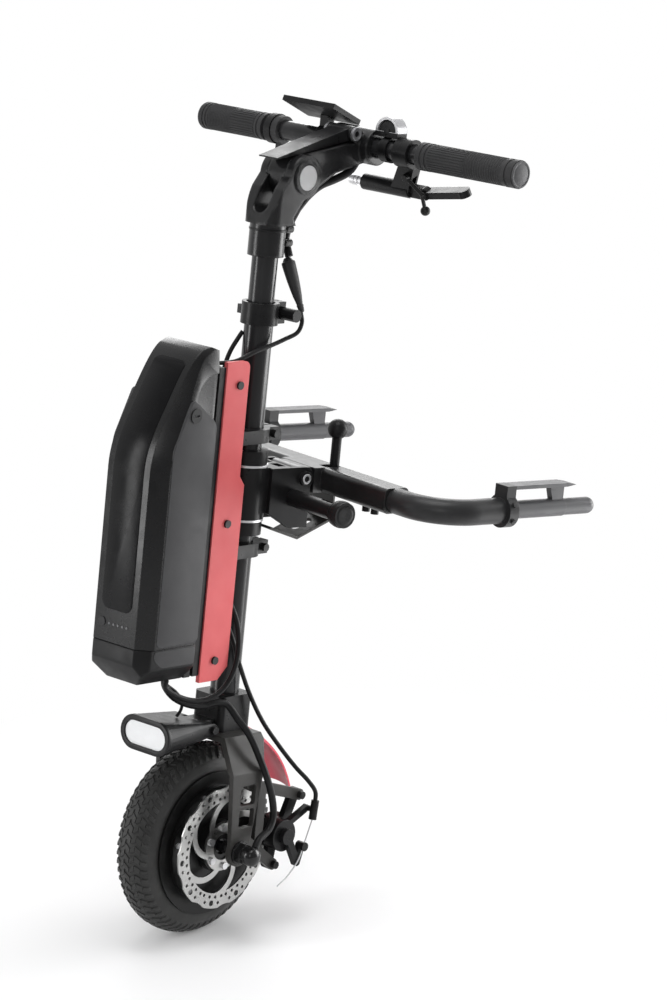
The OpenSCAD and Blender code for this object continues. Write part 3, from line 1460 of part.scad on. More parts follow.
module ball_lever() color("#1a1a1b") at_dock() translate([ball_x, ball_y, 0]) {
    translate([0, 0, arm_z]) {
        rod(-ball_hub_r, ball_hub_r, ball_hub_r);
        rod(-2 * ball_hub_r + seat, 2 * ball_hub_r - seat, ball_pin_r);
        cylinder(r = ball_rod_r, h = ball_up - arm_z);
    }
    translate([0, 0, ball_up]) sphere(r = ball_r);
}

// Bent arm with its docking tube, drawn for +X
collar_y = 187;
collar_l = 13;
dock_collar_r = 18.5;
collar_bolt_r = 3;
collar_bolt_h = 2.5;
collar_bolt_turn = 28;
dock_tip = 322;
blade_half = 10;
blade_tip = 287;
blade_top = 28.5;
blade_plate = 4;
blade_nose = 12;
post_y = 262;
post_l = 13;
post_flare = 8;
post_t = 8;
// The plug end is stepped down, and its shoulder is the seat
plug_step = 0.75;
module dock_arm() {
    x1 = dock_span / 2 - arm_bend;
    translate([0, arm_y, arm_z]) {
        rod(spigot_in, beam_l / 2 + 2 * seat, spigot_r);
        rod(beam_l / 2 + seat, x1, arm_d / 2);
    }
    translate([x1, arm_y + arm_bend, arm_z]) rotate(-90) rotate_extrude(angle = 90)
        translate([arm_bend, 0]) circle(d = arm_d);
    translate([dock_span / 2, 0, arm_z]) {
        translate([0, arm_y + arm_bend, 0]) rotate([-90, 0, 0])
            cylinder(d = arm_d, h = collar_y + cut - arm_y - arm_bend);
        translate([0, collar_y, 0]) rotate([-90, 0, 0]) cylinder(r = dock_collar_r, h = collar_l);
        translate([0, collar_y, 0]) rotate([-90, 0, 0])
            cylinder(d = dock_tube_d, h = dock_tip - collar_y - dock_tube_d / 2);
        translate([0, collar_y, 0]) rotate([-90, 0, 0])
            cylinder(d = dock_tube_d + 2 * plug_step, h = post_y + post_l + plug_step - collar_y);
        translate([0, dock_tip - dock_tube_d / 2, 0]) sphere(d = dock_tube_d);
        across(0, post_t) polygon([
            [post_y, 0], [post_y + post_l, 0], [post_y + post_l, blade_top - blade_plate / 2],
            [post_y - post_flare, blade_top - blade_plate / 2]]);
        for (a = [-collar_bolt_turn, collar_bolt_turn])
            translate([0, collar_y + collar_l / 2, 0]) rotate([0, 90 + a, 0])
                cylinder(r = collar_bolt_r, h = dock_collar_r + collar_bolt_h);
        across(0, 2 * blade_half) polygon([
            [collar_y, 0], [collar_y + collar_l, 0], [collar_y + collar_l, blade_top - blade_plate],
            [blade_tip - blade_nose, blade_top - blade_plate], [blade_tip, blade_top - blade_plate / 2],
            [blade_tip - blade_nose, blade_top], [collar_y, blade_top]]);
    }
}
module dock_arm_left() color("#242426") at_dock() dock_arm();
module dock_arm_right() color("#242426") at_dock() mirror([1, 0, 0]) dock_arm();

tyre();
hub_shell();
hub_covers();
wheel_screws();
brake_disc();
wheel_bearings();
axle();
stator();
fork();
crown_block();
mudguard();
headlight_body();
headlight_lens();
caliper_bracket();
caliper_body();
brake_pads();
brake_arm();
brake_hose();
brake_wire();
motor_cables();
headlight_lead();
lower_tube();
collars();
column_clamps();
socket_bolts();
side_plates();
battery_rail();
battery_base();
battery_case();
battery_panels();
battery_cells();
battery_lock();
power_button();
qr_collar();
qr_lever();
connector();
cable_bundle();
upper_tube();
stem_base();
stem_arm();
stem_lever();
handlebar();
grips();
throttle_body();
throttle_paddle();
brake_lever_body();
brake_lever();
park_lock();
bell();
display();
head_tube();
headset();
plunger_housing();
plunger_pin();
dock_beam();
latch_plate();
dock_bolts();
ball_lever();
dock_arm_left();
dock_arm_right();
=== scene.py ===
"""Dresses the wheelchair power assist: finishes, modelled detail, cables, studio and camera."""
import logging
import math
from contextlib import contextmanager
from dataclasses import dataclass
from enum import Enum
from typing import Callable, Iterable, Iterator, Optional, Sequence

import bpy
import bmesh
from bpy.types import Material, NodeSocket, Object
from mathutils import Matrix, Vector


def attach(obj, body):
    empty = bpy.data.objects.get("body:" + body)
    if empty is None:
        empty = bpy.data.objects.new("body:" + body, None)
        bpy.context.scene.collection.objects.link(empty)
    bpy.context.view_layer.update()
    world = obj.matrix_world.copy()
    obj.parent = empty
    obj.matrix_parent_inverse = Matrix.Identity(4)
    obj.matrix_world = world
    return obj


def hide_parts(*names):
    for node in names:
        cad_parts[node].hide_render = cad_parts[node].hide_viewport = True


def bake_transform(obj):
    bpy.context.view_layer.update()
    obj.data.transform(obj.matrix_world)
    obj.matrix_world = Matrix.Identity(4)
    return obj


LOG = logging.getLogger("power_assist")
MM = 0.001
QUARTER = math.pi / 2
ORIGIN, ACROSS, BACK, UP = (Vector(axis) for axis in ((0, 0, 0), (1, 0, 0), (0, 1, 0), (0, 0, 1)))
Pair = tuple[float, float]
Point = tuple[float, float, float]
Colour = tuple[float, float, float]
Plane = tuple[Vector, Vector]

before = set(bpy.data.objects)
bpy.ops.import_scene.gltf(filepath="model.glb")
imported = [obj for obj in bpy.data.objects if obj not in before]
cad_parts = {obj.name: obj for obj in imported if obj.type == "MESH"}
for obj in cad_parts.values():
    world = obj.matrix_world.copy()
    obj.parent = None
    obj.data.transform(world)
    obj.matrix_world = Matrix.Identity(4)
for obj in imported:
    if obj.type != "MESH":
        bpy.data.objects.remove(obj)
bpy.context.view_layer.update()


class Hand(Enum):
    """The rider's side on which a piece sits."""

    LEFT = 1
    RIGHT = -1

    def named(self, piece: str) -> str:
        """Gives a piece's name with its side."""
        return f"{piece}_{self.name.lower()}"

    def seat(self, place: Matrix, across: float, at: Pair = (0, 0)) -> Matrix:
        """Gives the matrix of a seat that faces outwards on this side of a place."""
        turn = Matrix.Rotation(self.value * QUARTER, 4, "Y")
        return place @ Matrix.Translation((self.value * across, *at)) @ turn

    def depths(self, inner: float, outer: float) -> list[float]:
        """Gives the places of a piece's two faces on this side, the lower one first."""
        return sorted((self.value * inner, self.value * outer))

    def plane(self, point: Point, normal: Point) -> Plane:
        """Gives a plane's point and unit normal on this side, from those on the left."""
        flip = Vector((self.value, 1, 1))
        return Vector(point) * flip, (Vector(normal) * flip).normalized()


class View(Enum):
    """The side from which a flat outline is drawn."""

    SIDE = "yz"
    FRONT = "xz"
    PLAN = "xy"

    def lift(self, first: float, second: float, depth: float) -> Vector:
        """Gives the point in space of an outline's point at a depth."""
        values = dict(zip(self.value, (first, second)))
        return Vector([values.get(axis, depth) for axis in "xyz"])


class Part(Enum):
    """What is selected in a mesh."""

    POINTS = "VERT"
    EDGES = "EDGE"
    FACES = "FACE"


@dataclass(frozen=True)
class Rake:
    """The leaning frame of the steering column, and the frames that hang on it."""

    lean: float = math.radians(8.25)
    turn: float = math.radians(-9.5)
    back: float = 28.5
    axle_height: float = 108.0
    crown_top: float = 118.910
    bar_back: float = 134.3
    bar_up: float = 644.4

    @property
    def wheel(self) -> Matrix:
        """The matrix from millimetres about the axle to the row frame's metres."""
        return Matrix.Scale(MM, 4) @ Matrix.Translation((0, 0, self.axle_height))

    @property
    def column(self) -> Matrix:
        """The matrix from the column's millimetres to the row frame's metres.

        Returns:
            The matrix.
        """
        place = Matrix.Translation((0, self.back, self.axle_height))
        lean = Matrix.Rotation(-self.lean, 4, "X")
        lift = Matrix.Translation((0, 0, self.crown_top))
        return Matrix.Scale(MM, 4) @ place @ lean @ lift

    @property
    def dock(self) -> Matrix:
        """The matrix from the docking head's millimetres to the row frame's metres."""
        return self.column @ Matrix.Rotation(self.turn, 4, "Z")

    @property
    def bar(self) -> Matrix:
        """The matrix from millimetres about the handlebar's axis to the row frame's metres."""
        return self.column @ Matrix.Translation((0, self.bar_back, self.bar_up))


RAKE = Rake()


class Nodes:
    """A small builder of shader nodes in the tree of a material or a world."""

    mix_inputs: tuple[int, int, int] = (0, 6, 7)
    mix_output: int = 2
    noise_roughness: float = 0.55
    edge_band: Pair = (0.86, 0.995)
    bevel_samples: int = 4

    def __init__(self, owner: bpy.types.ID) -> None:
        """Turns on the nodes of a material or a world."""
        owner.use_nodes = True
        self.tree = owner.node_tree

    def feed(self, socket: NodeSocket, value: object) -> None:
        """Links a socket to an input, or writes a plain value into it.

        Args:
            socket: The input.
            value: A socket, a number or a row of numbers.
        """
        if isinstance(value, NodeSocket):
            self.tree.links.new(value, socket)
        else:
            socket.default_value = value

    def fill(self, node: str, **values: object) -> None:
        """Feeds a node that is already there.

        Args:
            node: The node's name.
            values: What each input gets, under its name with _ for a space.
        """
        for key, value in values.items():
            self.feed(self.tree.nodes[node].inputs[key.replace("_", " ")], value)

    def add(self, kind: str, output: object, inputs: Optional[dict[object, object]] = None,
            **settings: object) -> NodeSocket:
        """Adds a node.

        Args:
            kind: The node's type without its common prefix.
            output: The name or number of the output that is wanted.
            inputs: What each input gets, under its name or number.
            settings: The node's own settings.

        Returns:
            The output's socket.
        """
        node = self.tree.nodes.new("ShaderNode" + kind)
        for key, value in settings.items():
            setattr(node, key, value)
        for key, value in (inputs or {}).items():
            self.feed(node.inputs[key], value)
        return node.outputs[output]

    def place(self, stretch: Point = (1, 1, 1)) -> NodeSocket:
        """Gives stretched Object coordinates."""
        return self.add("Mapping", "Vector", {"Vector": self.add("TexCoord", "Object"), "Scale": stretch})

    def noise(self, where: NodeSocket, scale: float, detail: float = 3.0) -> NodeSocket:
        """Gives a noise value at a place."""
        return self.add("TexNoise", "Fac", {"Vector": where, "Scale": scale, "Detail": detail,
                                            "Roughness": self.noise_roughness})

    def spread(self, value: NodeSocket, low: float, high: float,
               start: float = 0.3, end: float = 0.7) -> NodeSocket:
        """Maps a value between start and end to low and high."""
        return self.add("MapRange", "Result", {"Value": value, "From Min": start, "From Max": end,
                                               "To Min": low, "To Max": high})

    def blend(self, factor: NodeSocket, first: object, second: object) -> NodeSocket:
        """Mixes two colours, each a colour or a socket, by a factor."""
        ends = [end if isinstance(end, NodeSocket) else (*end, 1.0) for end in (first, second)]
        return self.add("Mix", self.mix_output, dict(zip(self.mix_inputs, (factor, *ends))), data_type="RGBA")

    def math(self, operation: str, first: object, second: object) -> NodeSocket:
        """Does one sum on sockets or numbers."""
        return self.add("Math", "Value", {0: first, 1: second}, operation=operation)

    def dot(self, first: object, second: object) -> NodeSocket:
        """Gives the dot product of two directions."""
        return self.add("VectorMath", "Value", {0: first, 1: second}, operation="DOT_PRODUCT")

    def rounded(self, radius: float) -> NodeSocket:
        """Gives the normal of edges eased by a radius in metres."""
        return self.add("Bevel", "Normal", {"Radius": radius}, samples=self.bevel_samples)

    def edges(self, eased: NodeSocket) -> NodeSocket:
        """Gives 1 on edges and 0 on flats, from an eased normal."""
        return self.spread(self.dot(eased, self.add("NewGeometry", "Normal")), 1.0, 0.0, *self.edge_band)

    def bump(self, height: NodeSocket, strength: float, depth: float, normal: NodeSocket) -> NodeSocket:
        """Gives a normal raised by a height in metres times depth."""
        return self.add("Bump", "Normal", {"Height": height, "Strength": strength, "Distance": depth,
                                           "Normal": normal})


@dataclass(frozen=True)
class Finish:
    """A surface with two close colours, a grain, uneven gloss and eased, lightly worn edges."""

    name: str
    colour: Colour
    shade: Colour
    roughness: Pair
    slot: str
    metallic: float = 0.0
    grain: float = 900.0
    grain_depth: float = 0.00006
    grain_strength: float = 0.25
    grain_detail: float = 4.0
    patch: float = 22.0
    easing: float = 0.0007
    wear: Optional[Colour] = None
    wear_share: float = 0.0
    wear_band: Pair = (0.45, 0.7)
    stretch: Point = (1, 1, 1)
    coat: float = 0.0
    coat_roughness: float = 0.12
    sheen: float = 0.0
    shine: float = 0.16

    def pattern(self, nodes: Nodes, where: NodeSocket) -> NodeSocket:
        """The height of the grain."""
        return nodes.noise(where, self.grain, self.grain_detail)

    def tint(self, nodes: Nodes, where: NodeSocket) -> NodeSocket:
        """The colour before any wear."""
        patches = nodes.spread(nodes.noise(where, self.patch), 0.0, 1.0)
        return nodes.blend(patches, self.colour, self.shade)

    def worn(self, nodes: Nodes, where: NodeSocket, eased: NodeSocket) -> NodeSocket:
        """The share of wear: patches along the edges."""
        patches = nodes.spread(nodes.noise(where, 4 * self.patch), 0.0, self.wear_share, *self.wear_band)
        return nodes.math("MULTIPLY", nodes.edges(eased), patches)

    def material(self) -> Material:
        """Makes the material once and hands out the same one afterwards.

        Returns:
            The material of this finish.
        """
        known = bpy.data.materials.get(self.name)
        if known is not None:
            return known
        material = bpy.data.materials.new(self.name)
        nodes = Nodes(material)
        where = nodes.place(self.stretch)
        eased = nodes.rounded(self.easing)
        colour = self.tint(nodes, where)
        if self.wear is not None:
            colour = nodes.blend(self.worn(nodes, where, eased), colour, self.wear)
        gloss = nodes.spread(nodes.noise(where, 3 * self.patch), *self.roughness)
        relief = nodes.bump(self.pattern(nodes, where), self.grain_strength, self.grain_depth, eased)
        nodes.fill("Principled BSDF", Base_Color=colour, Roughness=gloss, Normal=relief,
                   Metallic=self.metallic, Specular_IOR_Level=self.shine, Coat_Weight=self.coat,
                   Sheen_Weight=self.sheen)
        if self.coat:
            nodes.fill("Principled BSDF", Coat_Roughness=self.coat_roughness)
        return material


@dataclass(frozen=True)
class RingGround(Finish):
    """Steel ground in rings about the axle."""

    rings: float = 260.0
    wander: float = 2.0

    def pattern(self, nodes: Nodes, where: NodeSocket) -> NodeSocket:
        """Fine rings about the wheel's axle."""
        about = nodes.add("Mapping", "Vector", {"Vector": where, "Location": -RAKE.wheel.translation})
        return nodes.add("TexWave", "Fac", {"Vector": about, "Scale": self.rings, "Distortion": self.wander},
                         wave_type="RINGS", rings_direction="X")


@dataclass(frozen=True)
class Split(Finish):
    """A finish with a second colour beyond a plane."""

    beyond: Colour = (0.3, 0.3, 0.31)
    facing: Point = (0, 1, 0)
    distance: float = 0.0

    def tint(self, nodes: Nodes, where: NodeSocket) -> NodeSocket:
        """The first colour, and the second past the plane."""
        past = nodes.math("GREATER_THAN", nodes.dot(where, self.facing), self.distance)
        return nodes.blend(past, super().tint(nodes, where), self.beyond)


SATIN_BLACK = Finish("satin_black_paint", (0.008, 0.008, 0.0085), (0.012, 0.012, 0.0125), (0.26, 0.38),
                     "black_paint", grain=1500, grain_strength=0.12, wear=(0.07, 0.07, 0.073), wear_share=0.5,
                     shine=0.18)
BEAM_BLACK = Finish("beam_black_paint", (0.010, 0.010, 0.0105), (0.014, 0.014, 0.0145), (0.30, 0.40),
                    "black_paint", grain=1500, grain_strength=0.03, easing=0.0012, shine=0.6)
STEM_BLACK = Finish("forged_stem_black", (0.009, 0.009, 0.0095), (0.012, 0.012, 0.0126), (0.16, 0.24),
                    "black_paint", grain=1300, grain_strength=0.06, easing=0.0035, shine=0.36)
GLOSS_BLACK = Finish("gloss_black_cap", (0.006, 0.006, 0.0065), (0.009, 0.009, 0.0095), (0.12, 0.20),
                     "dark_steel", grain=900, grain_strength=0.05, easing=0.0009, shine=0.35)
FORK_BLACK = Finish("fork_black_paint", (0.030, 0.0292, 0.0278), (0.039, 0.038, 0.036), (0.34, 0.46),
                    "black_paint", grain=1900, grain_strength=0.2, wear=(0.10, 0.10, 0.10), wear_share=0.5,
                    easing=0.0014, shine=0.3)
TUBE_BLACK = Finish("tube_black", (0.014, 0.014, 0.015), (0.019, 0.019, 0.020), (0.16, 0.24),
                    "black_paint", grain=700, grain_strength=0.06, stretch=(1, 1, 0.12), shine=0.36)
RED = Finish("red_anodised", (0.60, 0.098, 0.104), (0.65, 0.12, 0.126), (0.36, 0.48), "red_paint",
             grain=1600, grain_strength=0.12, wear=(0.78, 0.36, 0.38), wear_share=0.35)
GUARD_RED = Finish("mudguard_red", (0.66, 0.055, 0.095), (0.70, 0.075, 0.115), (0.30, 0.40), "red_paint",
                   grain=600, grain_strength=0.06, shine=0.35)
RUBBER = Finish("tyre_rubber", (0.022, 0.022, 0.0215), (0.034, 0.034, 0.033), (0.46, 0.62), "tyre",
                grain=1300, grain_strength=0.5, patch=40, sheen=0.1, shine=0.3)
HUB = Finish("hub_black", (0.009, 0.009, 0.0095), (0.013, 0.013, 0.0135), (0.24, 0.36), "hub_black",
             grain=1700, grain_strength=0.12, easing=0.0012, shine=0.26)
DISC = RingGround("ground_disc", (0.40, 0.40, 0.395), (0.50, 0.50, 0.49), (0.26, 0.38), "bright_steel",
                  metallic=1.0, grain_depth=0.00002, grain_strength=0.35, easing=0.0003)
BRIGHT = Finish("bright_steel", (0.6, 0.6, 0.6), (0.7, 0.7, 0.7), (0.16, 0.3), "bright_steel", metallic=1.0,
                grain=1200, grain_strength=0.08, easing=0.0004)
DARK_STEEL = Finish("black_oxide_steel", (0.018, 0.018, 0.0185), (0.032, 0.032, 0.032), (0.28, 0.42),
                    "dark_steel", metallic=0.5, grain=1500, grain_strength=0.15, easing=0.0004,
                    wear=(0.2, 0.2, 0.2), wear_share=0.5)
PLASTIC = Finish("moulded_black_plastic", (0.009, 0.009, 0.0095), (0.013, 0.013, 0.0135), (0.34, 0.48),
                 "black_plastic", grain=2400, grain_strength=0.3, easing=0.0009)
CASE = Finish("battery_case_plastic", (0.0055, 0.0055, 0.006), (0.008, 0.008, 0.0085), (0.22, 0.32),
              "black_plastic", grain=2000, grain_strength=0.08, easing=0.0012, shine=0.3)
INLAY = Finish("label_gloss_black", (0.0035, 0.0035, 0.004), (0.005, 0.005, 0.0055), (0.20, 0.29),
               "black_plastic", grain=500, grain_strength=0.03, easing=0.0005, shine=0.13)
PANEL = Finish("grey_panel_plastic", (0.046, 0.046, 0.048), (0.056, 0.056, 0.058), (0.38, 0.5),
               "grey_plastic", grain=2600, grain_strength=0.35, easing=0.0012)
LENS = Finish("white_lens", (0.80, 0.81, 0.82), (0.86, 0.87, 0.88), (0.12, 0.2), "lens_white",
              grain=300, grain_strength=0.1, patch=60, coat=0.4, easing=0.0012, shine=0.5)
LAMP_DOT = Finish("charge_dot", (0.10, 0.10, 0.105), (0.14, 0.14, 0.145), (0.2, 0.3), "grey_plastic",
                  easing=0.0002)
GLASS = Finish("screen_glass", (0.004, 0.004, 0.0045), (0.006, 0.006, 0.0065), (0.06, 0.12), "black_plastic",
               grain=300, grain_strength=0.02, easing=0.0004, shine=0.5)
CELL = Finish("cell_sleeve", (0.12, 0.28, 0.45), (0.16, 0.33, 0.5), (0.3, 0.4), "cell_metal")
SOFT = Finish("soft_black_rubber", (0.025, 0.025, 0.026), (0.035, 0.035, 0.036), (0.46, 0.6), "black_rubber",
              grain=2200, grain_strength=0.4, sheen=0.06)
GREY_CAP = Finish("grip_cap_grey", (0.075, 0.075, 0.078), (0.10, 0.10, 0.103), (0.4, 0.5), "black_rubber",
                  grain=1800, grain_strength=0.3)
JOINT_GREY = Finish("joint_grey_rubber", (0.022, 0.022, 0.023), (0.03, 0.03, 0.031), (0.42, 0.55),
                    "black_plastic", grain=1900, grain_strength=0.25)
CABLE = Finish("cable_jacket", (0.008, 0.008, 0.0085), (0.012, 0.012, 0.0125), (0.34, 0.46), "black_rubber",
               grain=1500, grain_strength=0.2)
GREY_CAST = Finish("grey_cast_metal", (0.20, 0.20, 0.21), (0.26, 0.26, 0.27), (0.3, 0.42), "dark_steel",
                   metallic=0.6, grain=1500, grain_strength=0.2)
BADGE = Finish("badge_silver", (0.40, 0.40, 0.405), (0.47, 0.47, 0.475), (0.5, 0.62), "bright_steel",
               metallic=0.2, grain=1300, grain_strength=0.12, easing=0.0004)
COLUMN_UP = RAKE.column.to_3x3().normalized() @ UP
BELL_SEAM = RAKE.bar @ Vector((0, 0, 19.6))
BELL = Split("bell_band", (0.012, 0.012, 0.0125), (0.018, 0.018, 0.0185), (0.26, 0.38), "dark_steel",
             metallic=0.5, grain=1300, grain_strength=0.12, beyond=(0.42, 0.42, 0.43),
             facing=tuple(COLUMN_UP), distance=COLUMN_UP.dot(BELL_SEAM))
DOCK_REAR = RAKE.dock.to_3x3().normalized() @ BACK
ARM_SEAM = RAKE.dock @ Vector((0, 200.2, 280))
DOCK_ARM = Split("dock_arm", (0.018, 0.018, 0.0188), (0.024, 0.024, 0.0248), (0.34, 0.46), "black_paint",
                 grain=2200, grain_strength=0.22, wear=(0.09, 0.09, 0.09), wear_share=0.4, shine=0.3,
                 beyond=(0.082, 0.082, 0.086), facing=tuple(DOCK_REAR), distance=DOCK_REAR.dot(ARM_SEAM))


class Workshop:
    """Modelling by operators, on one mesh at a time."""

    spare: float = 5.0
    parallel: float = 0.999
    sharp: float = 0.2

    @staticmethod
    def hold(*pieces: Object) -> None:
        """Selects pieces and nothing else, and makes the first one active.

        Args:
            pieces: The pieces.
        """
        bpy.ops.object.select_all(action="DESELECT")
        for piece in pieces:
            piece.select_set(True)
        bpy.context.view_layer.objects.active = pieces[0]

    @staticmethod
    def named(piece: Object, name: str) -> Object:
        """Names a piece and its mesh, and hands it back."""
        piece.name = piece.data.name = name
        return piece

    @classmethod
    def start(cls, kind: str, name: str, **settings: object) -> Object:
        """Adds a primitive and names it.

        Args:
            kind: The primitive's operator name after its common prefix.
            name: The piece's name.
            settings: The operator's own settings.

        Returns:
            The new object, active and in object mode.
        """
        bpy.ops.object.select_all(action="DESELECT")
        getattr(bpy.ops.mesh, f"primitive_{kind}_add")(**settings)
        return cls.named(bpy.context.object, name)

    @classmethod
    @contextmanager
    def edit(cls, piece: Object, part: Part,
             chosen: Callable[[object], bool] = lambda element: True) -> Iterator[None]:
        """Opens a piece in edit mode with some of its mesh selected, and closes it afterwards.

        Args:
            piece: The mesh piece.
            part: Whether points, edges or faces are selected.
            chosen: Says of each of these whether it is selected.

        Yields:
            Nothing, while the piece is open.
        """
        cls.hold(piece)
        bpy.ops.object.mode_set(mode="EDIT")
        bpy.ops.mesh.select_mode(type=part.value)
        bpy.ops.mesh.select_all(action="DESELECT")
        mesh = bmesh.from_edit_mesh(piece.data)
        for element in {Part.POINTS: mesh.verts, Part.EDGES: mesh.edges, Part.FACES: mesh.faces}[part]:
            if chosen(element):
                element.select_set(True)
        if part is Part.POINTS:
            mesh.select_flush(True)
        bmesh.update_edit_mesh(piece.data)
        yield
        bpy.ops.object.mode_set(mode="OBJECT")

    @classmethod
    def modify(cls, piece: Object, kind: str, **settings: object) -> None:
        """Adds a modifier and applies it.

        Args:
            piece: The mesh piece.
            kind: The modifier's type.
            settings: The modifier's own settings.
        """
        cls.hold(piece)
        modifier = piece.modifiers.new(kind.lower(), kind)
        for key, value in settings.items():
            setattr(modifier, key, value)
        bpy.ops.object.modifier_apply(modifier=modifier.name)

    @classmethod
    def bevel(cls, piece: Object, width: float, segments: int, angle: float = 30.0) -> None:
        """Rounds the edges that are sharper than an angle in degrees."""
        cls.modify(piece, "BEVEL", width=width, segments=segments, limit_method="ANGLE",
                   angle_limit=math.radians(angle))

    @classmethod
    def ease_edges(cls, piece: Object, along: Vector, width: float, steps: int) -> None:
        """Rounds the sharp edges that run along a direction.

        Args:
            piece: The mesh piece.
            along: The direction.
            width: The width of the rounding.
            steps: Its number of steps.
        """
        def runs_along(edge: bmesh.types.BMEdge) -> bool:
            """Whether an edge is sharp and runs along the direction."""
            run = (edge.verts[1].co - edge.verts[0].co).normalized()
            return (abs(run.dot(along)) > cls.parallel and edge.is_manifold
                    and edge.calc_face_angle() > cls.sharp)

        with cls.edit(piece, Part.EDGES, runs_along):
            bpy.ops.mesh.bevel(offset=width, segments=steps, affect="EDGES")

    @classmethod
    def outward(cls, piece: Object, gap: float = 0.001) -> None:
        """Merges doubles and turns every face outwards.

        Args:
            piece: The closed mesh piece.
            gap: The distance up to which points are merged.
        """
        with cls.edit(piece, Part.POINTS):
            bpy.ops.mesh.remove_doubles(threshold=gap)
            bpy.ops.mesh.normals_make_consistent(inside=False)

    @classmethod
    def carve(cls, piece: Object, planes: Iterable[Plane]) -> None:
        """Cuts a solid back to planes.

        Args:
            piece: The solid piece.
            planes: A point of each plane and the normal of the side that is cut away.
        """
        with cls.edit(piece, Part.POINTS):
            for point, normal in planes:
                bpy.ops.mesh.select_all(action="SELECT")
                bpy.ops.mesh.bisect(plane_co=point, plane_no=normal, use_fill=True, clear_outer=True)

    @classmethod
    def cut_out(cls, piece: Object, cutter: Object) -> None:
        """Takes a cutter's shape out of a piece, and clears the cutter away."""
        cls.modify(piece, "BOOLEAN", operation="DIFFERENCE", object=cutter, solver="EXACT")
        bpy.data.objects.remove(cutter, do_unlink=True)

    @classmethod
    def block(cls, name: str, size: Point, middle: Point) -> Object:
        """Adds a block.

        Args:
            name: The piece's name.
            size: Its size.
            middle: Its middle.

        Returns:
            The block in millimetres.
        """
        piece = cls.start("cube", name, size=1.0)
        with cls.edit(piece, Part.POINTS):
            bpy.ops.transform.resize(value=size)
            bpy.ops.transform.translate(value=middle)
        return piece

    @classmethod
    def prism(cls, name: str, outline: Sequence[Pair], view: View, low: float, high: float) -> Object:
        """Cuts a block to a convex outline.

        Args:
            name: The piece's name.
            outline: The outline's points in order, as seen in the view.
            view: The side from which the outline is drawn.
            low: The depth at which the block starts.
            high: The depth at which it ends.

        Returns:
            The block in millimetres.
        """
        firsts, seconds = zip(*outline)
        middle = (sum(firsts) / len(outline), sum(seconds) / len(outline))
        near = view.lift(min(firsts) - cls.spare, min(seconds) - cls.spare, low)
        far = view.lift(max(firsts) + cls.spare, max(seconds) + cls.spare, high)
        piece = cls.block(name, far - near, (far + near) / 2)
        planes = []
        for (a, b), (c, d) in zip(outline, [*outline[1:], outline[0]]):
            across = (d - b, a - c)
            if (a - middle[0]) * across[0] + (b - middle[1]) * across[1] < 0:
                across = (-across[0], -across[1])
            planes.append((view.lift(a, b, (low + high) / 2), view.lift(*across, 0.0).normalized()))
        cls.carve(piece, planes)
        return piece

    @classmethod
    def lathe(cls, name: str, profile: Sequence[Pair], sides: int = 48) -> Object:
        """Turns a profile about Z, ring by ring.

        Args:
            name: The piece's name.
            profile: Pairs of height and radius, from the foot upwards.
            sides: The number of sides.

        Returns:
            The closed turned piece in millimetres.
        """
        height, radius = profile[0]
        piece = cls.start("circle", name, vertices=sides, radius=radius, fill_type="NGON",
                          location=(0, 0, height))
        bpy.ops.object.transform_apply(location=True)
        with cls.edit(piece, Part.FACES):
            for up, wide in profile[1:]:
                bpy.ops.mesh.extrude_region_move(TRANSFORM_OT_translate={"value": (0, 0, up - height)})
                bpy.ops.transform.resize(value=(wide / radius, wide / radius, 1))
                height, radius = up, wide
            bpy.ops.mesh.select_mode(type=Part.EDGES.value)
            bpy.ops.mesh.select_all(action="DESELECT")
            bpy.ops.mesh.select_non_manifold()
            bpy.ops.mesh.edge_face_add()
        cls.outward(piece)
        return piece

    @classmethod
    def join(cls, name: str, pieces: Sequence[Object]) -> Object:
        """Joins pieces into the first one.

        Args:
            name: The new piece's name.
            pieces: The pieces.

        Returns:
            The new piece.
        """
        cls.hold(*pieces)
        bpy.ops.object.join()
        return cls.named(pieces[0], name)

    @classmethod
    def copy(cls, piece: Object, name: str, move: Matrix) -> Object:
        """Copies a piece with its own mesh.

        Args:
            piece: The piece.
            name: The copy's name.
            move: The matrix that moves or mirrors the copy.

        Returns:
            The copy.
        """
        twin = piece.copy()
        twin.data = piece.data.copy()
        bpy.context.scene.collection.objects.link(twin)
        twin.data.transform(move)
        if move.determinant() < 0:
            twin.data.flip_normals()
        return cls.named(twin, name)

    @classmethod
    def finish(cls, piece: Object, place: Matrix, look: Finish, body: str,
               replaces: str = "", smooth: float = 32.0) -> None:
        """Puts a piece in its place, gives it its finish and its body.

        Args:
            piece: The piece, modelled in millimetres about its own origin.
            place: The matrix from those millimetres to the row frame.
            look: Its finish.
            body: The body that it rides on.
            replaces: The node that it stands for, if any.
            smooth: The angle in degrees up to which edges are shaded smooth.
        """
        cls.hold(piece)
        bpy.ops.object.transform_apply(location=True, rotation=True, scale=True)
        piece.data.transform(place)
        piece.data.update()
        bpy.ops.object.shade_smooth_by_angle(angle=math.radians(smooth))
        piece.data.materials.clear()
        piece.data.materials.append(look.material())
        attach(piece, body)
        if replaces:
            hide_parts(replaces)
        LOG.info("piece %s on %s", piece.name, body)

    @classmethod
    def turned(cls, name: str, profile: Sequence[Pair], place: Matrix, look: Finish, body: str,
               sides: int = 48, smooth: float = 32.0) -> None:
        """Turns a profile and finishes the piece, as lathe and finish say."""
        cls.finish(cls.lathe(name, profile, sides), place, look, body, smooth=smooth)


def dress(**looks: Finish) -> None:
    """Gives nodes of the model their finishes.

    Args:
        looks: Each node's finish, under the node's name.
    """
    for node, look in looks.items():
        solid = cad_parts[node]
        if solid.material_slots:
            for slot in solid.material_slots:
                slot.material = look.material()
        else:
            solid.data.materials.append(look.material())
        LOG.info("node %s in %s", node, look.name)


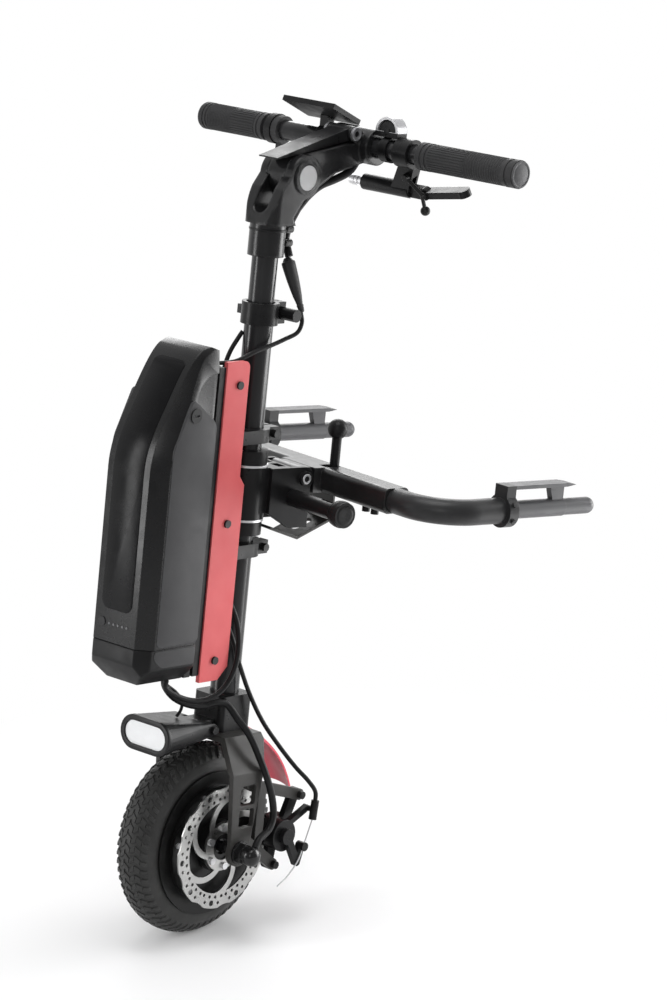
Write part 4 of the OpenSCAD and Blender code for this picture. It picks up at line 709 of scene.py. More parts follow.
@dataclass
class Wheel:
    """The hub-motor wheel: tyre with a chevron tread, hub, disc and screws."""

    radius: float = 108.0
    section_round: float = 24.7
    section_centre: float = 82.0
    bead: float = 70.0
    section_points: int = 40
    turns: int = 180
    tread_height: float = 1.45
    pitches: int = 60
    stagger: float = 3.4
    block_tall: float = 3.2
    block_taper: Point = (0.9, 0.82, 1.0)
    top_rise: float = 0.4
    top_slant: float = 0.3
    weld: float = 0.01
    rows: tuple[tuple[str, float, float, float, float, float], ...] = (
        ("rib", 0.1, 6.6, 6.4, -6.2, 0.0),
        ("flank", 7.0, 12.0, 6.6, 4.4, -6.2),
        ("shoulder", 12.3, 17.6, 6.4, -5.2, -1.8),
        ("edge", 18.0, 21.8, 4.8, -2.0, -7.0),
    )

    def spin(self, piece: Object, steps: int, copies: bool) -> None:
        """Spins a piece round the axle.

        Args:
            piece: The piece.
            steps: The number of steps in a whole turn.
            copies: Whether each step is a copy, or they join into one skin.
        """
        with Workshop.edit(piece, Part.POINTS):
            bpy.ops.mesh.spin(steps=steps, angle=2 * math.pi, center=ORIGIN, axis=ACROSS, dupli=copies)
        Workshop.outward(piece, self.weld)

    def carcass(self) -> Object:
        """Spins the tyre's section, a round one that is flattened towards the bead.

        Returns:
            The bare tyre in millimetres about the axle.
        """
        piece = Workshop.start("circle", "tyre_carcass", vertices=self.section_points,
                               radius=self.section_round, rotation=(QUARTER, 0, 0))
        bpy.ops.object.transform_apply(rotation=True)
        with Workshop.edit(piece, Part.POINTS, lambda point: point.co.z < -self.weld):
            flat = (self.section_centre - self.bead) / self.section_round
            bpy.ops.transform.resize(value=(1, 1, flat), center_override=ORIGIN)
        with Workshop.edit(piece, Part.POINTS):
            bpy.ops.transform.translate(value=(0, 0, self.section_centre))
        self.spin(piece, self.turns, False)
        return piece

    def surface(self, across: float) -> float:
        """Gives the radius of the tread's top at a distance from the wheel's middle."""
        return self.section_centre + math.sqrt((self.section_round + self.tread_height) ** 2 - across ** 2)

    def block(self, name: str, inner: float, outer: float, length: float, sweep: float,
              trail: float) -> Object:
        """Shapes one tread block from a cube.

        Args:
            name: The block's name.
            inner: Where it starts across the tread.
            outer: Where it ends across the tread.
            length: Its length along the tread.
            sweep: How far its outer end trails its inner end.
            trail: How far the whole block trails the tread's middle.

        Returns:
            The block, at the top of the wheel.
        """
        middle = (inner + outer) / 2
        top = min(self.surface(inner), self.radius)
        piece = Workshop.block(name, (outer - inner, length, self.block_tall),
                               (middle, trail, top - self.block_tall / 2))
        with Workshop.edit(piece, Part.POINTS, lambda point: point.co.x > middle):
            bpy.ops.transform.translate(value=(0, sweep, self.surface(outer) - top))

        def on_top(face: bmesh.types.BMFace) -> bool:
            """Whether a face is the block's slanting top."""
            return face.normal.z > self.top_rise and abs(face.normal.y) < self.top_slant

        with Workshop.edit(piece, Part.FACES, on_top):
            bpy.ops.transform.resize(value=self.block_taper)
        return piece

    def tyre(self) -> None:
        """Makes the tyre with its chevron tread."""
        rows = [self.block(*row) for row in self.rows]
        far_side = Matrix.Scale(-1, 4, ACROSS) @ Matrix.Translation((0, self.stagger, 0))
        twins = [Workshop.copy(row, row.name + "_far", far_side) for row in rows]
        tread = Workshop.join("tread", rows + twins)
        self.spin(tread, self.pitches, True)
        piece = Workshop.join("tyre_chevron_tread", [self.carcass(), tread])
        Workshop.finish(piece, RAKE.wheel, RUBBER, "wheel", "tyre", smooth=40)

    def build(self) -> None:
        """Builds the tyre and dresses the wheel's solids."""
        self.tyre()
        dress(hub_shell=HUB, hub_covers=HUB, wheel_screws=BRIGHT, brake_disc=DISC, wheel_bearings=BRIGHT,
              stator=DARK_STEEL, axle=GLOSS_BLACK)


@dataclass
class ForkAndBrake:
    """The fork with its crown, mudguard, headlight and disc brake."""

    lamp_size: Pair = (73.0, 38.0)
    lamp_front: float = -119.5
    lamp_up: float = 4.6
    round_steps: int = 14
    rim: float = 6.0
    rim_over: float = 0.4
    rim_proud: float = 1.6
    rim_deep: float = 4.0
    opening_reach: float = 9.0
    cap_seats: tuple[tuple[Hand, float], ...] = ((Hand.LEFT, 81.0), (Hand.RIGHT, 59.0))
    cap_profile: tuple[Pair, ...] = (
        (-0.5, 10.5), (6.0, 10.6), (10.2, 10.4), (12.6, 9.3), (14.3, 7.2), (15.6, 4.4), (16.2, 1.9),
        (16.3, 0.4))

    def stadium(self, inset: float) -> list[Pair]:
        """Gives the outline of the lamp's face.

        Args:
            inset: The width by which it is set in all round.

        Returns:
            The outline's points.
        """
        wide, tall = (size - 2 * inset for size in self.lamp_size)
        points = []
        for hand in Hand:
            for step in range(self.round_steps + 1):
                turn = math.pi * (step / self.round_steps - 0.5)
                points.append((hand.value * ((wide - tall) / 2 + tall / 2 * math.cos(turn)),
                               hand.value * tall / 2 * math.sin(turn)))
        return points

    def lamp_rim(self) -> None:
        """Models the dark frame round the headlight's lens."""
        piece = Workshop.prism("lamp_rim", self.stadium(-self.rim_over), View.FRONT,
                               self.lamp_front - self.rim_proud, self.lamp_front + self.rim_deep)
        opening = Workshop.prism("lamp_opening", self.stadium(self.rim), View.FRONT,
                                 self.lamp_front - self.opening_reach, self.lamp_front + self.opening_reach)
        Workshop.cut_out(piece, opening)
        Workshop.bevel(piece, width=0.7, segments=3, angle=50)
        place = RAKE.column @ Matrix.Translation((0, 0, self.lamp_up))
        Workshop.finish(piece, place, SATIN_BLACK, "headlight", smooth=30)

    def axle_caps(self) -> None:
        """Models the domed caps on the axle's nuts, each on its nut's outer face."""
        for hand, seat in self.cap_seats:
            Workshop.turned(hand.named("axle_cap"), self.cap_profile, hand.seat(RAKE.wheel, seat),
                            GLOSS_BLACK, "column", smooth=60)

    def build(self) -> None:
        """Models the headlight's frame and the axle's caps and dresses the fork's solids."""
        self.lamp_rim()
        self.axle_caps()
        dress(fork=FORK_BLACK, crown_block=SATIN_BLACK, mudguard=GUARD_RED, headlight_body=SATIN_BLACK,
              headlight_lens=LENS, caliper_bracket=FORK_BLACK, caliper_body=SATIN_BLACK,
              brake_pads=DARK_STEEL, brake_arm=SATIN_BLACK)


@dataclass
class Column:
    """The steering column: tube, collars, clamps, side plates, rail and quick release."""

    def build(self) -> None:
        """Dresses the column's solids."""
        dress(lower_tube=TUBE_BLACK, collars=SATIN_BLACK, column_clamps=SATIN_BLACK, socket_bolts=DARK_STEEL,
              side_plates=RED, battery_rail=PLASTIC, qr_collar=SATIN_BLACK, qr_lever=SATIN_BLACK)


@dataclass
class Battery:
    """The battery with its base, panels, label, lock, button and charge dots."""

    front: float = -181.3
    back: float = -96.3
    low: float = 114.3
    high: float = 436.3
    half: float = 45.0
    nose_half: float = 31.0
    nose_bevel: float = 16.0
    rear_round: float = 6.0
    rear_drop: float = 3.5
    knee: float = 328.43
    knee_reach: Pair = (0.3, 0.12)
    brow: Pair = (-128.3, 429.3)
    brow_reach: Pair = (0.5, 0.35)
    crest: Pair = (-106.3, 436.3)
    taper_from: float = 351.3
    taper_in: float = 10.0
    scoop_up: float = 374.3
    scoop_radius: float = 34.0
    scoop_depth: float = 18.0
    soft_steps: int = 8
    label_half: float = 22.5
    label_low: float = 150.0
    label_high: float = 421.0
    label_back: float = -112.0
    label_proud: Point = (0, -0.55, 0.1)
    panel_front: float = 18.0
    panel_back: float = 4.0
    panel_gap: float = 2.0
    panel_shoulder: float = 355.8
    panel_peak: Pair = (42.5, 384.8)
    panel_faces: Pair = (42.0, 45.55)
    base_half: float = 43.0
    base_low: float = 71.0
    base_top: float = 114.0
    base_cut: float = 20.0
    base_toe: Pair = (17.0, 24.0)
    foot_toe: Pair = (30.0, 12.0)
    foot_faces: Pair = (40.0, 43.5)
    dot_profile: tuple[Pair, ...] = ((0, 1.5), (0.5, 1.5), (0.8, 1.1), (0.85, 0.3))
    dot_pitch: float = 6.5
    dot_count: int = 5
    dot_start: Pair = (-9.0, 134.3)
    dot_sunk: float = 0.1

    def eased(self, before: Pair, corner: Pair, after: Pair, first: float, last: float) -> list[Pair]:
        """Gives the points of a soft bend at a corner.

        Args:
            before: The outline's point before the corner.
            corner: The corner.
            after: The outline's point after the corner.
            first: The share of the way to the point before at which the bend starts.
            last: The share of the way to the point after at which it ends.

        Returns:
            The bend's points.
        """
        a, b, c = Vector(before), Vector(corner), Vector(after)
        start, end = b + first * (a - b), b + last * (c - b)
        steps = [step / self.soft_steps for step in range(self.soft_steps + 1)]
        return [tuple((1 - t) ** 2 * start + 2 * t * (1 - t) * b + t ** 2 * end) for t in steps]

    def bends(self) -> list[Pair]:
        """The front's soft bends at the brow and the knee, from the top down.

        Returns:
            The bends' points.
        """
        foot, knee = (self.front, self.low), (self.front, self.knee)
        return [*self.eased(self.crest, self.brow, knee, *self.brow_reach),
                *self.eased(self.brow, knee, foot, *self.knee_reach)]

    def profile(self) -> list[Pair]:
        """The outline of the case from the side."""
        rear_top = (self.back, self.high - self.rear_drop)
        return [(self.front, self.low), (self.back, self.low), rear_top, self.crest, *self.bends()]

    def shoulders(self) -> list[Plane]:
        """The planes of the bevels that follow the front's bend and slope.

        Returns:
            The planes.
        """
        bends = self.bends()
        drop = self.half - self.nose_half
        planes = []
        for low, high in zip(bends[1:], bends[:-1]):
            run = (Vector(high) - Vector(low)).normalized()
            normal = (self.nose_bevel, -drop * run.y, drop * run.x)
            planes += [hand.plane((self.nose_half, *low), normal) for hand in Hand]
        return planes

    def corners(self) -> list[Plane]:
        """The planes of the bevels beside the nose and of the rear corners.

        Returns:
            The planes.
        """
        nose = ((self.nose_half, self.front, 0), (self.nose_bevel, self.nose_half - self.half, 0))
        rear = ((self.half, self.back - self.rear_round, 0), (1, 1, 0))
        return [hand.plane(*corner) for hand in Hand for corner in (nose, rear)]

    def case(self) -> None:
        """Models the case: the side outline, cut to its bevels and tapers, with a scoop on each side."""
        piece = Workshop.prism("battery_shell", self.profile(), View.SIDE, -self.half, self.half)
        tapers = [hand.plane((self.half, 0, self.taper_from), (self.high - self.taper_from, 0, self.taper_in))
                  for hand in Hand]
        Workshop.carve(piece, self.corners() + self.shoulders() + tapers)
        for hand in Hand:
            cutter = Workshop.start("cylinder", "scoop", vertices=72, radius=self.scoop_radius,
                                    depth=self.scoop_depth, rotation=(0, QUARTER, 0),
                                    location=(hand.value * self.half, self.back, self.scoop_up))
            Workshop.cut_out(piece, cutter)
        Workshop.bevel(piece, width=2.4, segments=3, angle=20)
        Workshop.finish(piece, RAKE.column, CASE, "battery", "battery_case", smooth=28)

    def label(self) -> None:
        """Models the bare label plate, which follows the front up over the brow."""
        piece = Workshop.prism("battery_label", self.profile(), View.SIDE, -self.label_half, self.label_half)
        Workshop.carve(piece, [(self.label_low * UP, -UP), (self.label_high * UP, UP),
                               (self.label_back * BACK, BACK)])
        Workshop.ease_edges(piece, BACK, width=10.0, steps=6)
        with Workshop.edit(piece, Part.POINTS):
            bpy.ops.transform.translate(value=self.label_proud)
        Workshop.bevel(piece, width=0.35, segments=2, angle=40)
        Workshop.finish(piece, RAKE.column, INLAY, "battery", smooth=24)

    def panel(self, hand: Hand) -> None:
        """Models one grey side panel, a little proud of the case.

        Args:
            hand: The side.
        """
        front, back = self.front + self.panel_front, self.back - self.panel_back
        low = self.low + self.panel_gap
        peak_in, peak_up = self.panel_peak
        outline = [(front, low), (back, low), (back, self.panel_shoulder), (self.back - peak_in, peak_up),
                   (front, self.knee)]
        piece = Workshop.prism(hand.named("battery_panel"), outline, View.SIDE,
                               *hand.depths(*self.panel_faces))
        Workshop.ease_edges(piece, ACROSS, width=7.0, steps=6)
        Workshop.bevel(piece, width=0.5, segments=3, angle=40)
        Workshop.finish(piece, RAKE.column, PANEL, "battery", "battery_panels", smooth=28)

    def foot_panel(self, hand: Hand) -> None:
        """Models the grey panel on one side of the base.

        Args:
            hand: The side.
        """
        front, back = self.front + self.panel_front, self.back - self.panel_back
        top, cut = self.base_top - self.panel_gap, self.base_low + self.base_cut
        toe_in, toe_up = self.foot_toe
        outline = [(front, top), (back, top), (back, cut + self.panel_gap),
                   (self.front + toe_in, cut + self.panel_gap), (front, cut + toe_up)]
        piece = Workshop.prism(hand.named("foot_panel"), outline, View.SIDE,
                               *hand.depths(*self.foot_faces))
        Workshop.ease_edges(piece, ACROSS, width=4.0, steps=4)
        Workshop.bevel(piece, width=0.45, segments=3, angle=40)
        Workshop.finish(piece, RAKE.column, PANEL, "column", smooth=28)

    def base(self) -> None:
        """Models the controller base with its cut-back toe and the bevels along its lower sides."""
        toe_in, toe_up = self.base_toe
        outline = [(self.front, self.base_top), (self.back, self.base_top), (self.back, self.base_low),
                   (self.front + toe_in, self.base_low), (self.front, self.base_low + toe_up)]
        piece = Workshop.prism("battery_foot", outline, View.SIDE, -self.base_half, self.base_half)
        lower = [hand.plane((self.base_half, 0, self.base_low + self.base_cut), (1, 0, -1)) for hand in Hand]
        Workshop.carve(piece, self.corners() + lower)
        Workshop.bevel(piece, width=1.8, segments=3, angle=20)
        Workshop.finish(piece, RAKE.column, PLASTIC, "column", "battery_base", smooth=28)

    def dots(self) -> None:
        """Models the row of charge dots beside the button."""
        first = Workshop.lathe("charge_dots", self.dot_profile, sides=16)
        row = [Workshop.copy(first, f"charge_dot_{place}", Matrix.Translation((self.dot_pitch * place, 0, 0)))
               for place in range(1, self.dot_count)]
        piece = Workshop.join("charge_dots", [first, *row])
        across, up = self.dot_start
        start = Matrix.Translation((across, self.front + self.dot_sunk, up))
        place = RAKE.column @ start @ Matrix.Rotation(QUARTER, 4, "X")
        Workshop.finish(piece, place, LAMP_DOT, "battery")

    def build(self) -> None:
        """Models the battery's shells and dresses its other solids."""
        self.case()
        self.label()
        for hand in Hand:
            self.panel(hand)
            self.foot_panel(hand)
        self.base()
        self.dots()
        dress(battery_cells=CELL, battery_lock=DARK_STEEL, power_button=SOFT)


@dataclass
class Mast:
    """The telescoping mast with its folding stem."""

    pivot: Pair = (28.8, 612.4)
    cheek: float = 25.2
    lever_pin: Pair = (106.3, 658.4)
    boss: float = 21.0
    badge_profile: tuple[Pair, ...] = (
        (-0.4, 13.6), (0.5, 13.6), (0.9, 13.2), (0.9, 12.4), (0.55, 12.0), (0.55, 3.0), (0.7, 0.4))
    bolt_profile: tuple[Pair, ...] = (
        (-2.9, 7.4), (-1.0, 7.7), (0.4, 7.4), (0.9, 6.8), (0.9, 5.6), (0.3, 5.1), (0.2, 3.2), (-1.6, 3.0),
        (-1.6, 0.4))
    step_profile: tuple[Pair, ...] = ((553, 19.9), (553.4, 20.5), (555.4, 20.5), (555.8, 19.9))

    def build(self) -> None:
        """Models the bare badges, the bolts' rings and the sleeve's step, and dresses the mast's solids."""
        for hand in Hand:
            Workshop.turned(hand.named("stem_badge"), self.badge_profile,
                            hand.seat(RAKE.column, self.cheek, self.pivot), BADGE, "mast")
            Workshop.turned(hand.named("lever_bolt_ring"), self.bolt_profile,
                            hand.seat(RAKE.column, self.boss, self.lever_pin), GREY_CAST, "bar")
        Workshop.turned("sleeve_step_ring", self.step_profile, RAKE.column, SATIN_BLACK, "mast", sides=64)
        dress(upper_tube=TUBE_BLACK, stem_base=STEM_BLACK, stem_arm=STEM_BLACK, stem_lever=SATIN_BLACK)


@dataclass
class Handlebar:
    """The bar with its grips, controls, bell and display."""

    grip_ends: tuple[tuple[Hand, float, float], ...] = ((Hand.LEFT, 94, 230), (Hand.RIGHT, 134, 230))
    core: float = 14.6
    sides: int = 64
    rows: int = 40
    rings: tuple[int, ...] = (0, 1, 3, 36, 38, 39)
    ring_height: float = 0.85
    ribbed: range = range(5, 20)
    rib_height: float = 0.6
    knurled: range = range(20, 35)
    knurl_height: float = 0.75
    end_rise: float = 0.5
    cap_depth: float = 4.0
    cap_steps: tuple[Pair, ...] = ((2.0, 0.0), (0.7, -0.6), (1.2, 0.5))
    barrel_profile: tuple[Pair, ...] = (
        (-23.5, 3.4), (-22.6, 5.2), (-18.4, 5.2), (-18.0, 6.0), (-15.0, 6.0), (-14.6, 5.4), (-14.0, 6.0),
        (-10.0, 6.0), (-9.6, 5.2), (-3.0, 5.2))
    perch_turn: float = math.radians(25.5)
    perch_drop: float = -46.5
    bell_profile: tuple[Pair, ...] = (
        (-6.5, 11.2), (-5.6, 12.5), (5.6, 12.5), (6.5, 11.2), (6.6, 4.2), (8.0, 4.0), (8.2, 3.4), (8.2, 0.4))
    bell_flat: float = -4.0
    bell_at: Point = (45.5, 0, 20)
    screen_half: Pair = (34, 20)
    screen_faces: Pair = (2.6, 3.7)
    screen_at: Point = (-49, -11, 31)
    screen_tilt: float = math.radians(-22)

    def textured(self, name: str, length: float) -> Object:
        """Models a grip with end rings, a ribbed half and a knurled half.

        Args:
            name: The grip's name.
            length: Its length.

        Returns:
            The grip in millimetres, standing on its inner end.
        """
        piece = Workshop.start("cylinder", name, vertices=self.sides, radius=self.core, depth=length,
                               end_fill_type="NGON")
        with Workshop.edit(piece, Part.FACES):
            for row in range(1, self.rows):
                bpy.ops.mesh.bisect(plane_co=length * (row / self.rows - 0.5) * UP, plane_no=UP)
                bpy.ops.mesh.select_all(action="SELECT")

        def row_of(face: bmesh.types.BMFace) -> Optional[int]:
            """The row of a face on the round side, from the inner end."""
            up = face.calc_center_median().z + length / 2
            return int(up / (length / self.rows)) if abs(face.normal.z) < self.end_rise else None

        def even(face: bmesh.types.BMFace) -> bool:
            """Whether a face has an even number round the grip."""
            centre = face.calc_center_median()
            return round(math.atan2(centre.y, centre.x) / (2 * math.pi / self.sides) - 0.5) % 2 == 0

        with Workshop.edit(piece, Part.FACES, lambda face: row_of(face) in self.rings):
            bpy.ops.mesh.extrude_region_shrink_fatten(TRANSFORM_OT_shrink_fatten={"value": self.ring_height})
        with Workshop.edit(piece, Part.FACES, lambda face: row_of(face) in self.ribbed and even(face)):
            bpy.ops.mesh.extrude_region_shrink_fatten(TRANSFORM_OT_shrink_fatten={"value": self.rib_height})
        with Workshop.edit(piece, Part.FACES, lambda face: row_of(face) in self.knurled):
            bpy.ops.mesh.poke(offset=self.knurl_height)
        return piece

    def grip(self, hand: Hand, near: float, far: float) -> None:
        """Models one grip with its end cap.

        Args:
            hand: The side of the bar.
            near: The inner end's distance from the middle of the bar.
            far: The outer end's distance.
        """
        name = f"{hand.name.lower()}_grip"
        middle = hand.seat(RAKE.bar, (near + far) / 2)
        Workshop.finish(self.textured(name, far - near), middle, SOFT, "bar", "grips", smooth=24)
        cap = Workshop.start("cylinder", name + "_cap", vertices=self.sides, radius=self.core,
                             depth=self.cap_depth, end_fill_type="NGON")
        with Workshop.edit(cap, Part.FACES, lambda face: face.normal.z > self.end_rise):
            for width, rise in self.cap_steps:
                bpy.ops.mesh.inset(thickness=width, depth=rise)
        Workshop.bevel(cap, width=0.35, segments=2)
        Workshop.finish(cap, hand.seat(RAKE.bar, far), GREY_CAP, "bar", smooth=30)

    def barrel(self) -> None:
        """Models the bright cable adjuster on the brake lever's body."""
        perch = Matrix.Rotation(self.perch_turn, 4, "X") @ Matrix.Translation((0, 0, self.perch_drop))
        place = Hand.LEFT.seat(RAKE.bar @ perch, 0)
        Workshop.turned("brake_barrel", self.barrel_profile, place, BRIGHT, "bar", sides=40)

    def bell_core(self) -> None:
        """Models the black body under the bell's band."""
        piece = Workshop.lathe("bell_core", self.bell_profile)
        Workshop.carve(piece, [(self.bell_flat * BACK, -BACK)])
        place = RAKE.bar @ Matrix.Translation(self.bell_at) @ Matrix.Rotation(QUARTER, 4, "X")
        Workshop.finish(piece, place, PLASTIC, "bar")

    def screen(self) -> None:
        """Models the display's glass on its plate."""
        wide, tall = self.screen_half
        piece = Workshop.prism("display_glass", [(-wide, -tall), (wide, -tall), (wide, tall), (-wide, tall)],
                               View.PLAN, *self.screen_faces)
        Workshop.ease_edges(piece, UP, width=3.0, steps=4)
        Workshop.bevel(piece, width=0.3, segments=2)
        tilt = Matrix.Translation(self.screen_at) @ Matrix.Rotation(self.screen_tilt, 4, "X")
        Workshop.finish(piece, RAKE.bar @ tilt, GLASS, "bar")

    def build(self) -> None:
        """Builds the grips and the controls' details and dresses the bar's solids."""
        for ends in self.grip_ends:
            self.grip(*ends)
        self.barrel()
        self.bell_core()
        self.screen()
        dress(handlebar=TUBE_BLACK, throttle_body=PLASTIC, throttle_paddle=SOFT, brake_lever_body=SATIN_BLACK,
              brake_lever=SATIN_BLACK, park_lock=DARK_STEEL, bell=BELL, display=PLASTIC)


@dataclass
class DockingHead:
    """The head tube with its cheeks, the cross beam, the arms and their levers."""

    plunger: Pair = (46.0, 262.0)
    pivot: Pair = (60.0, 283.0)
    bolt_out: float = 34.0
    knob_profile: tuple[Pair, ...] = (
        (104.4, 9.6), (105.2, 11.7), (107.6, 12.2), (109.4, 13.2), (111.2, 14.4), (113.5, 14.9),
        (117.0, 14.9), (119.6, 14.2), (121.4, 12.6), (122.3, 10.4), (122.4, 8.6), (122.2, 4.0), (122.1, 0.4))
    bolt_profile: tuple[Pair, ...] = (
        (-0.8, 5.6), (0.5, 5.6), (1.0, 5.1), (1.0, 3.6), (0.4, 3.3), (-0.2, 3.2), (-0.2, 0.4))

    def build(self) -> None:
        """Models the knob and the pivot bolt's faces and dresses the docking head's solids."""
        Workshop.turned("plunger_knob", self.knob_profile, Hand.LEFT.seat(RAKE.dock, 0, self.plunger),
                        PLASTIC, "plunger", sides=56)
        for hand in Hand:
            Workshop.turned(hand.named("pivot_bolt_face"), self.bolt_profile,
                            hand.seat(RAKE.dock, self.bolt_out, self.pivot), BRIGHT, "head", sides=36)
        dress(head_tube=SATIN_BLACK, headset=BRIGHT, plunger_housing=SATIN_BLACK, plunger_pin=PLASTIC,
              dock_beam=BEAM_BLACK, latch_plate=FORK_BLACK, dock_bolts=DARK_STEEL, ball_lever=PLASTIC,
              dock_arm_left=DOCK_ARM, dock_arm_right=DOCK_ARM)


@dataclass(frozen=True)
class Cable:
    """One cable: its route in the column's frame, its size, what carries it and what it leads onto."""

    name: str
    route: tuple[Point, ...]
    radius: float
    body: str
    look: Finish
    node: str
    far_end: str = "object"
    stiffness: str = "medium"
    steps: int = 8
    onto: str = ""
    held: int = -1
    round_steps: int = 5
    weld: float = 0.00001
    smooth: float = math.radians(60)

    def line(self) -> list[Vector]:
        """The smooth line through the route's points, in metres.

        Returns:
            The points of the line.
        """
        points = [Vector(point) for point in self.route]
        last = len(points) - 1
        line: list[Vector] = []
        for index in range(last):
            a, b = points[max(index - 1, 0)], points[index]
            c, d = points[index + 1], points[min(index + 2, last)]
            for step in range(self.steps):
                t = step / self.steps
                line.append((2 * b + (c - a) * t + (2 * a - 5 * b + 4 * c - d) * t ** 2
                             + (3 * b - a - 3 * c + d) * t ** 3) / 2)
        line.append(points[last])
        return [RAKE.column @ point for point in line]

    def jacket(self, line: Sequence[Vector]) -> Object:
        """Makes the cable as a round curve.

        Args:
            line: The points of its line.

        Returns:
            The curve.
        """
        curve = bpy.data.curves.new(self.name, "CURVE")
        curve.dimensions = "3D"
        spline = curve.splines.new("POLY")
        spline.points.add(len(line) - 1)
        for target, point in zip(spline.points, line):
            target.co = (*point, 1.0)
        spline.use_smooth = True
        curve.bevel_depth = self.radius * MM
        curve.bevel_resolution = self.round_steps
        curve.use_fill_caps = True
        curve.materials.append(self.look.material())
        piece = bpy.data.objects.new(self.name, curve)
        bpy.context.scene.collection.objects.link(piece)
        return piece

    def build(self) -> None:
        """Makes the cable and hides the node that it stands for. A cable that leads onto another part is
        turned into a fixed mesh where it lies; any other cable rides on the body that carries it.
        """
        line = self.line()
        piece = self.jacket(line)
        if self.onto:
            Workshop.hold(piece)
            bpy.ops.object.convert(target="MESH")
            Workshop.outward(piece, self.weld)
            bpy.ops.object.shade_smooth_by_angle(angle=self.smooth)
            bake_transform(piece)
        else:
            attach(piece, self.body)
        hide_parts(self.node)


@dataclass
class Cabling:
    """All the cables of the drive."""

    cables: tuple[Cable, ...] = (
        Cable("brake_hose_line", (
            (-11.6, -11.6, 441), (-14.5, -15, 433), (-18, -22, 418), (-17, -30, 400), (-11, -40, 370),
            (-7, -41, 320), (-6, -41, 260), (-4, -40, 200), (2, -36, 162), (11, -25, 132), (20, -16, 104),
            (23, -9, 84), (28, 8, 46), (36, 26, 12), (48, 42, -14), (62, 58, -38), (74, 70, -54),
            (80, 77, -66), (80.3, 77.8, -78)), 2.5, "column", CABLE, "brake_hose", steps=5),
        Cable("brake_inner_wire", (
            (80.3, 76.6, -97), (80.3, 65.4, -127.6), (80.3, 61, -139), (80.3, 54, -149), (80.3, 42, -160),
            (80.3, 28, -168)),
            0.8, "column", BRIGHT, "brake_wire", "bare", "stiff", onto="brake_arm", held=1),
        Cable("motor_cable", (
            (10, -108, 70.5), (10, -106, 60), (12, -92, 46), (16, -72, 37), (20, -54, 34.5), (24, -38, 37),
            (28.5, -24, 33.5), (38, -17, 20), (54, -11.7, 3.7), (68, -8.1, -17.9), (76, -2.3, -38.6),
            (78, 7.2, -61.4), (79, 11.7, -83.7), (82, 3.3, -98.2), (84, -13.2, -106.2), (86, -21.3, -115)),
            4.0, "column", CABLE, "motor_cables", steps=5),
        Cable("controller_loop", (
            (20, -116, 70.4), (20, -114, 60), (24, -88, 47), (29, -64, 44), (33, -43, 52), (34, -27, 70),
            (33, -20, 95), (28, -20, 124), (17, -26, 150), (15, -40, 168), (13, -56, 178), (12, -72.5, 180)),
            3.0, "column", CABLE, "motor_cables"),
        Cable("headlight_lead_line", (
            (0, -98, 70.5), (0, -97, 61), (0, -78, 48), (0, -67, 37), (0, -67, 27), (0, -73, 20)),
            1.8, "column", CABLE, "headlight_lead", onto="headlight"),
        Cable("joint_lead", (
            (28, 35, 465.6), (29, 37, 455), (28, 32, 444), (25, 16, 437), (23, -2, 431), (21, -24, 425),
            (17, -46, 416), (14, -60, 413.8), (12, -80, 413.8)), 2.4, "column", CABLE, "connector"),
        Cable("bar_cable_upper", (
            (8, 128, 634), (7.2, 123, 623), (5.5, 114, 613.5), (2, 98, 606), (-2, 80, 599), (-4, 64, 588),
            (-5, 50, 574)), 4.5, "bar", CABLE, "cable_bundle", onto="mast"),
        Cable("bar_cable_lower", (
            (-5, 50, 574), (-5, 39, 556), (-3, 33, 540), (3, 31, 532), (7, 30.5, 524.4)),
            4.5, "mast", CABLE, "cable_bundle", onto="column"),
    )
    joint_top: Point = (8, 30, 516)
    joint_foot: Point = (27.5, 35, 470)
    joint_flat: float = 0.72
    rib_count: int = 4
    rib_pitch: float = 2.0
    rib_faces: Pair = (0.6, 2.2)
    rib_radii: Pair = (4.3, 4.8)

    def joint(self) -> None:
        """Models the tapered cable joint with its collar and ribs."""
        top, foot = Vector(self.joint_top), Vector(self.joint_foot)
        long = (top - foot).length
        ribs = [(face + self.rib_pitch * rib, self.rib_radii[rib % 2])
                for rib in range(self.rib_count) for face in self.rib_faces]
        piece = Workshop.lathe("cable_joint", [
            (-4.0, 2.6), (-3.0, 3.7), *ribs, (9.0, 5.0), (14, 6.2), (24, 7.6), (34, 8.7), (long - 4, 9.4),
            (long + 1, 9.6), (long + 2.6, 9.0), (long + 3.0, 7.6), (long + 6.5, 5.0),
            (long + 7.4, 3.0)], sides=40)
        with Workshop.edit(piece, Part.POINTS):
            bpy.ops.transform.resize(value=(1.0, self.joint_flat, 1.0), center_override=ORIGIN)
        turn = (top - foot).to_track_quat("Z", "Y").to_matrix().to_4x4()
        place = RAKE.column @ Matrix.Translation(foot) @ turn
        Workshop.finish(piece, place, JOINT_GREY, "column", "connector")

    def build(self) -> None:
        """Builds every cable and the cable joint."""
        for cable in self.cables:
            cable.build()
        self.joint()


@dataclass(frozen=True)
class Lamp:
    """One soft lamp: where it hangs, what it faces, its width and height, and its power in watts."""

    name: str
    place: Point
    aim: Point
    size: Pair
    power: float

    def build(self) -> None:
        """Hangs the lamp, out of the camera's sight."""
        light = bpy.data.lights.new(self.name, "AREA")
        light.shape = "RECTANGLE"
        light.size, light.size_y = self.size
        light.energy = self.power
        lamp = bpy.data.objects.new(self.name, light)
        lamp.location = self.place
        lamp.visible_camera = False
        lamp.rotation_euler = (Vector(self.aim) - Vector(self.place)).to_track_quat("-Z", "Y").to_euler()
        bpy.context.scene.collection.objects.link(lamp)


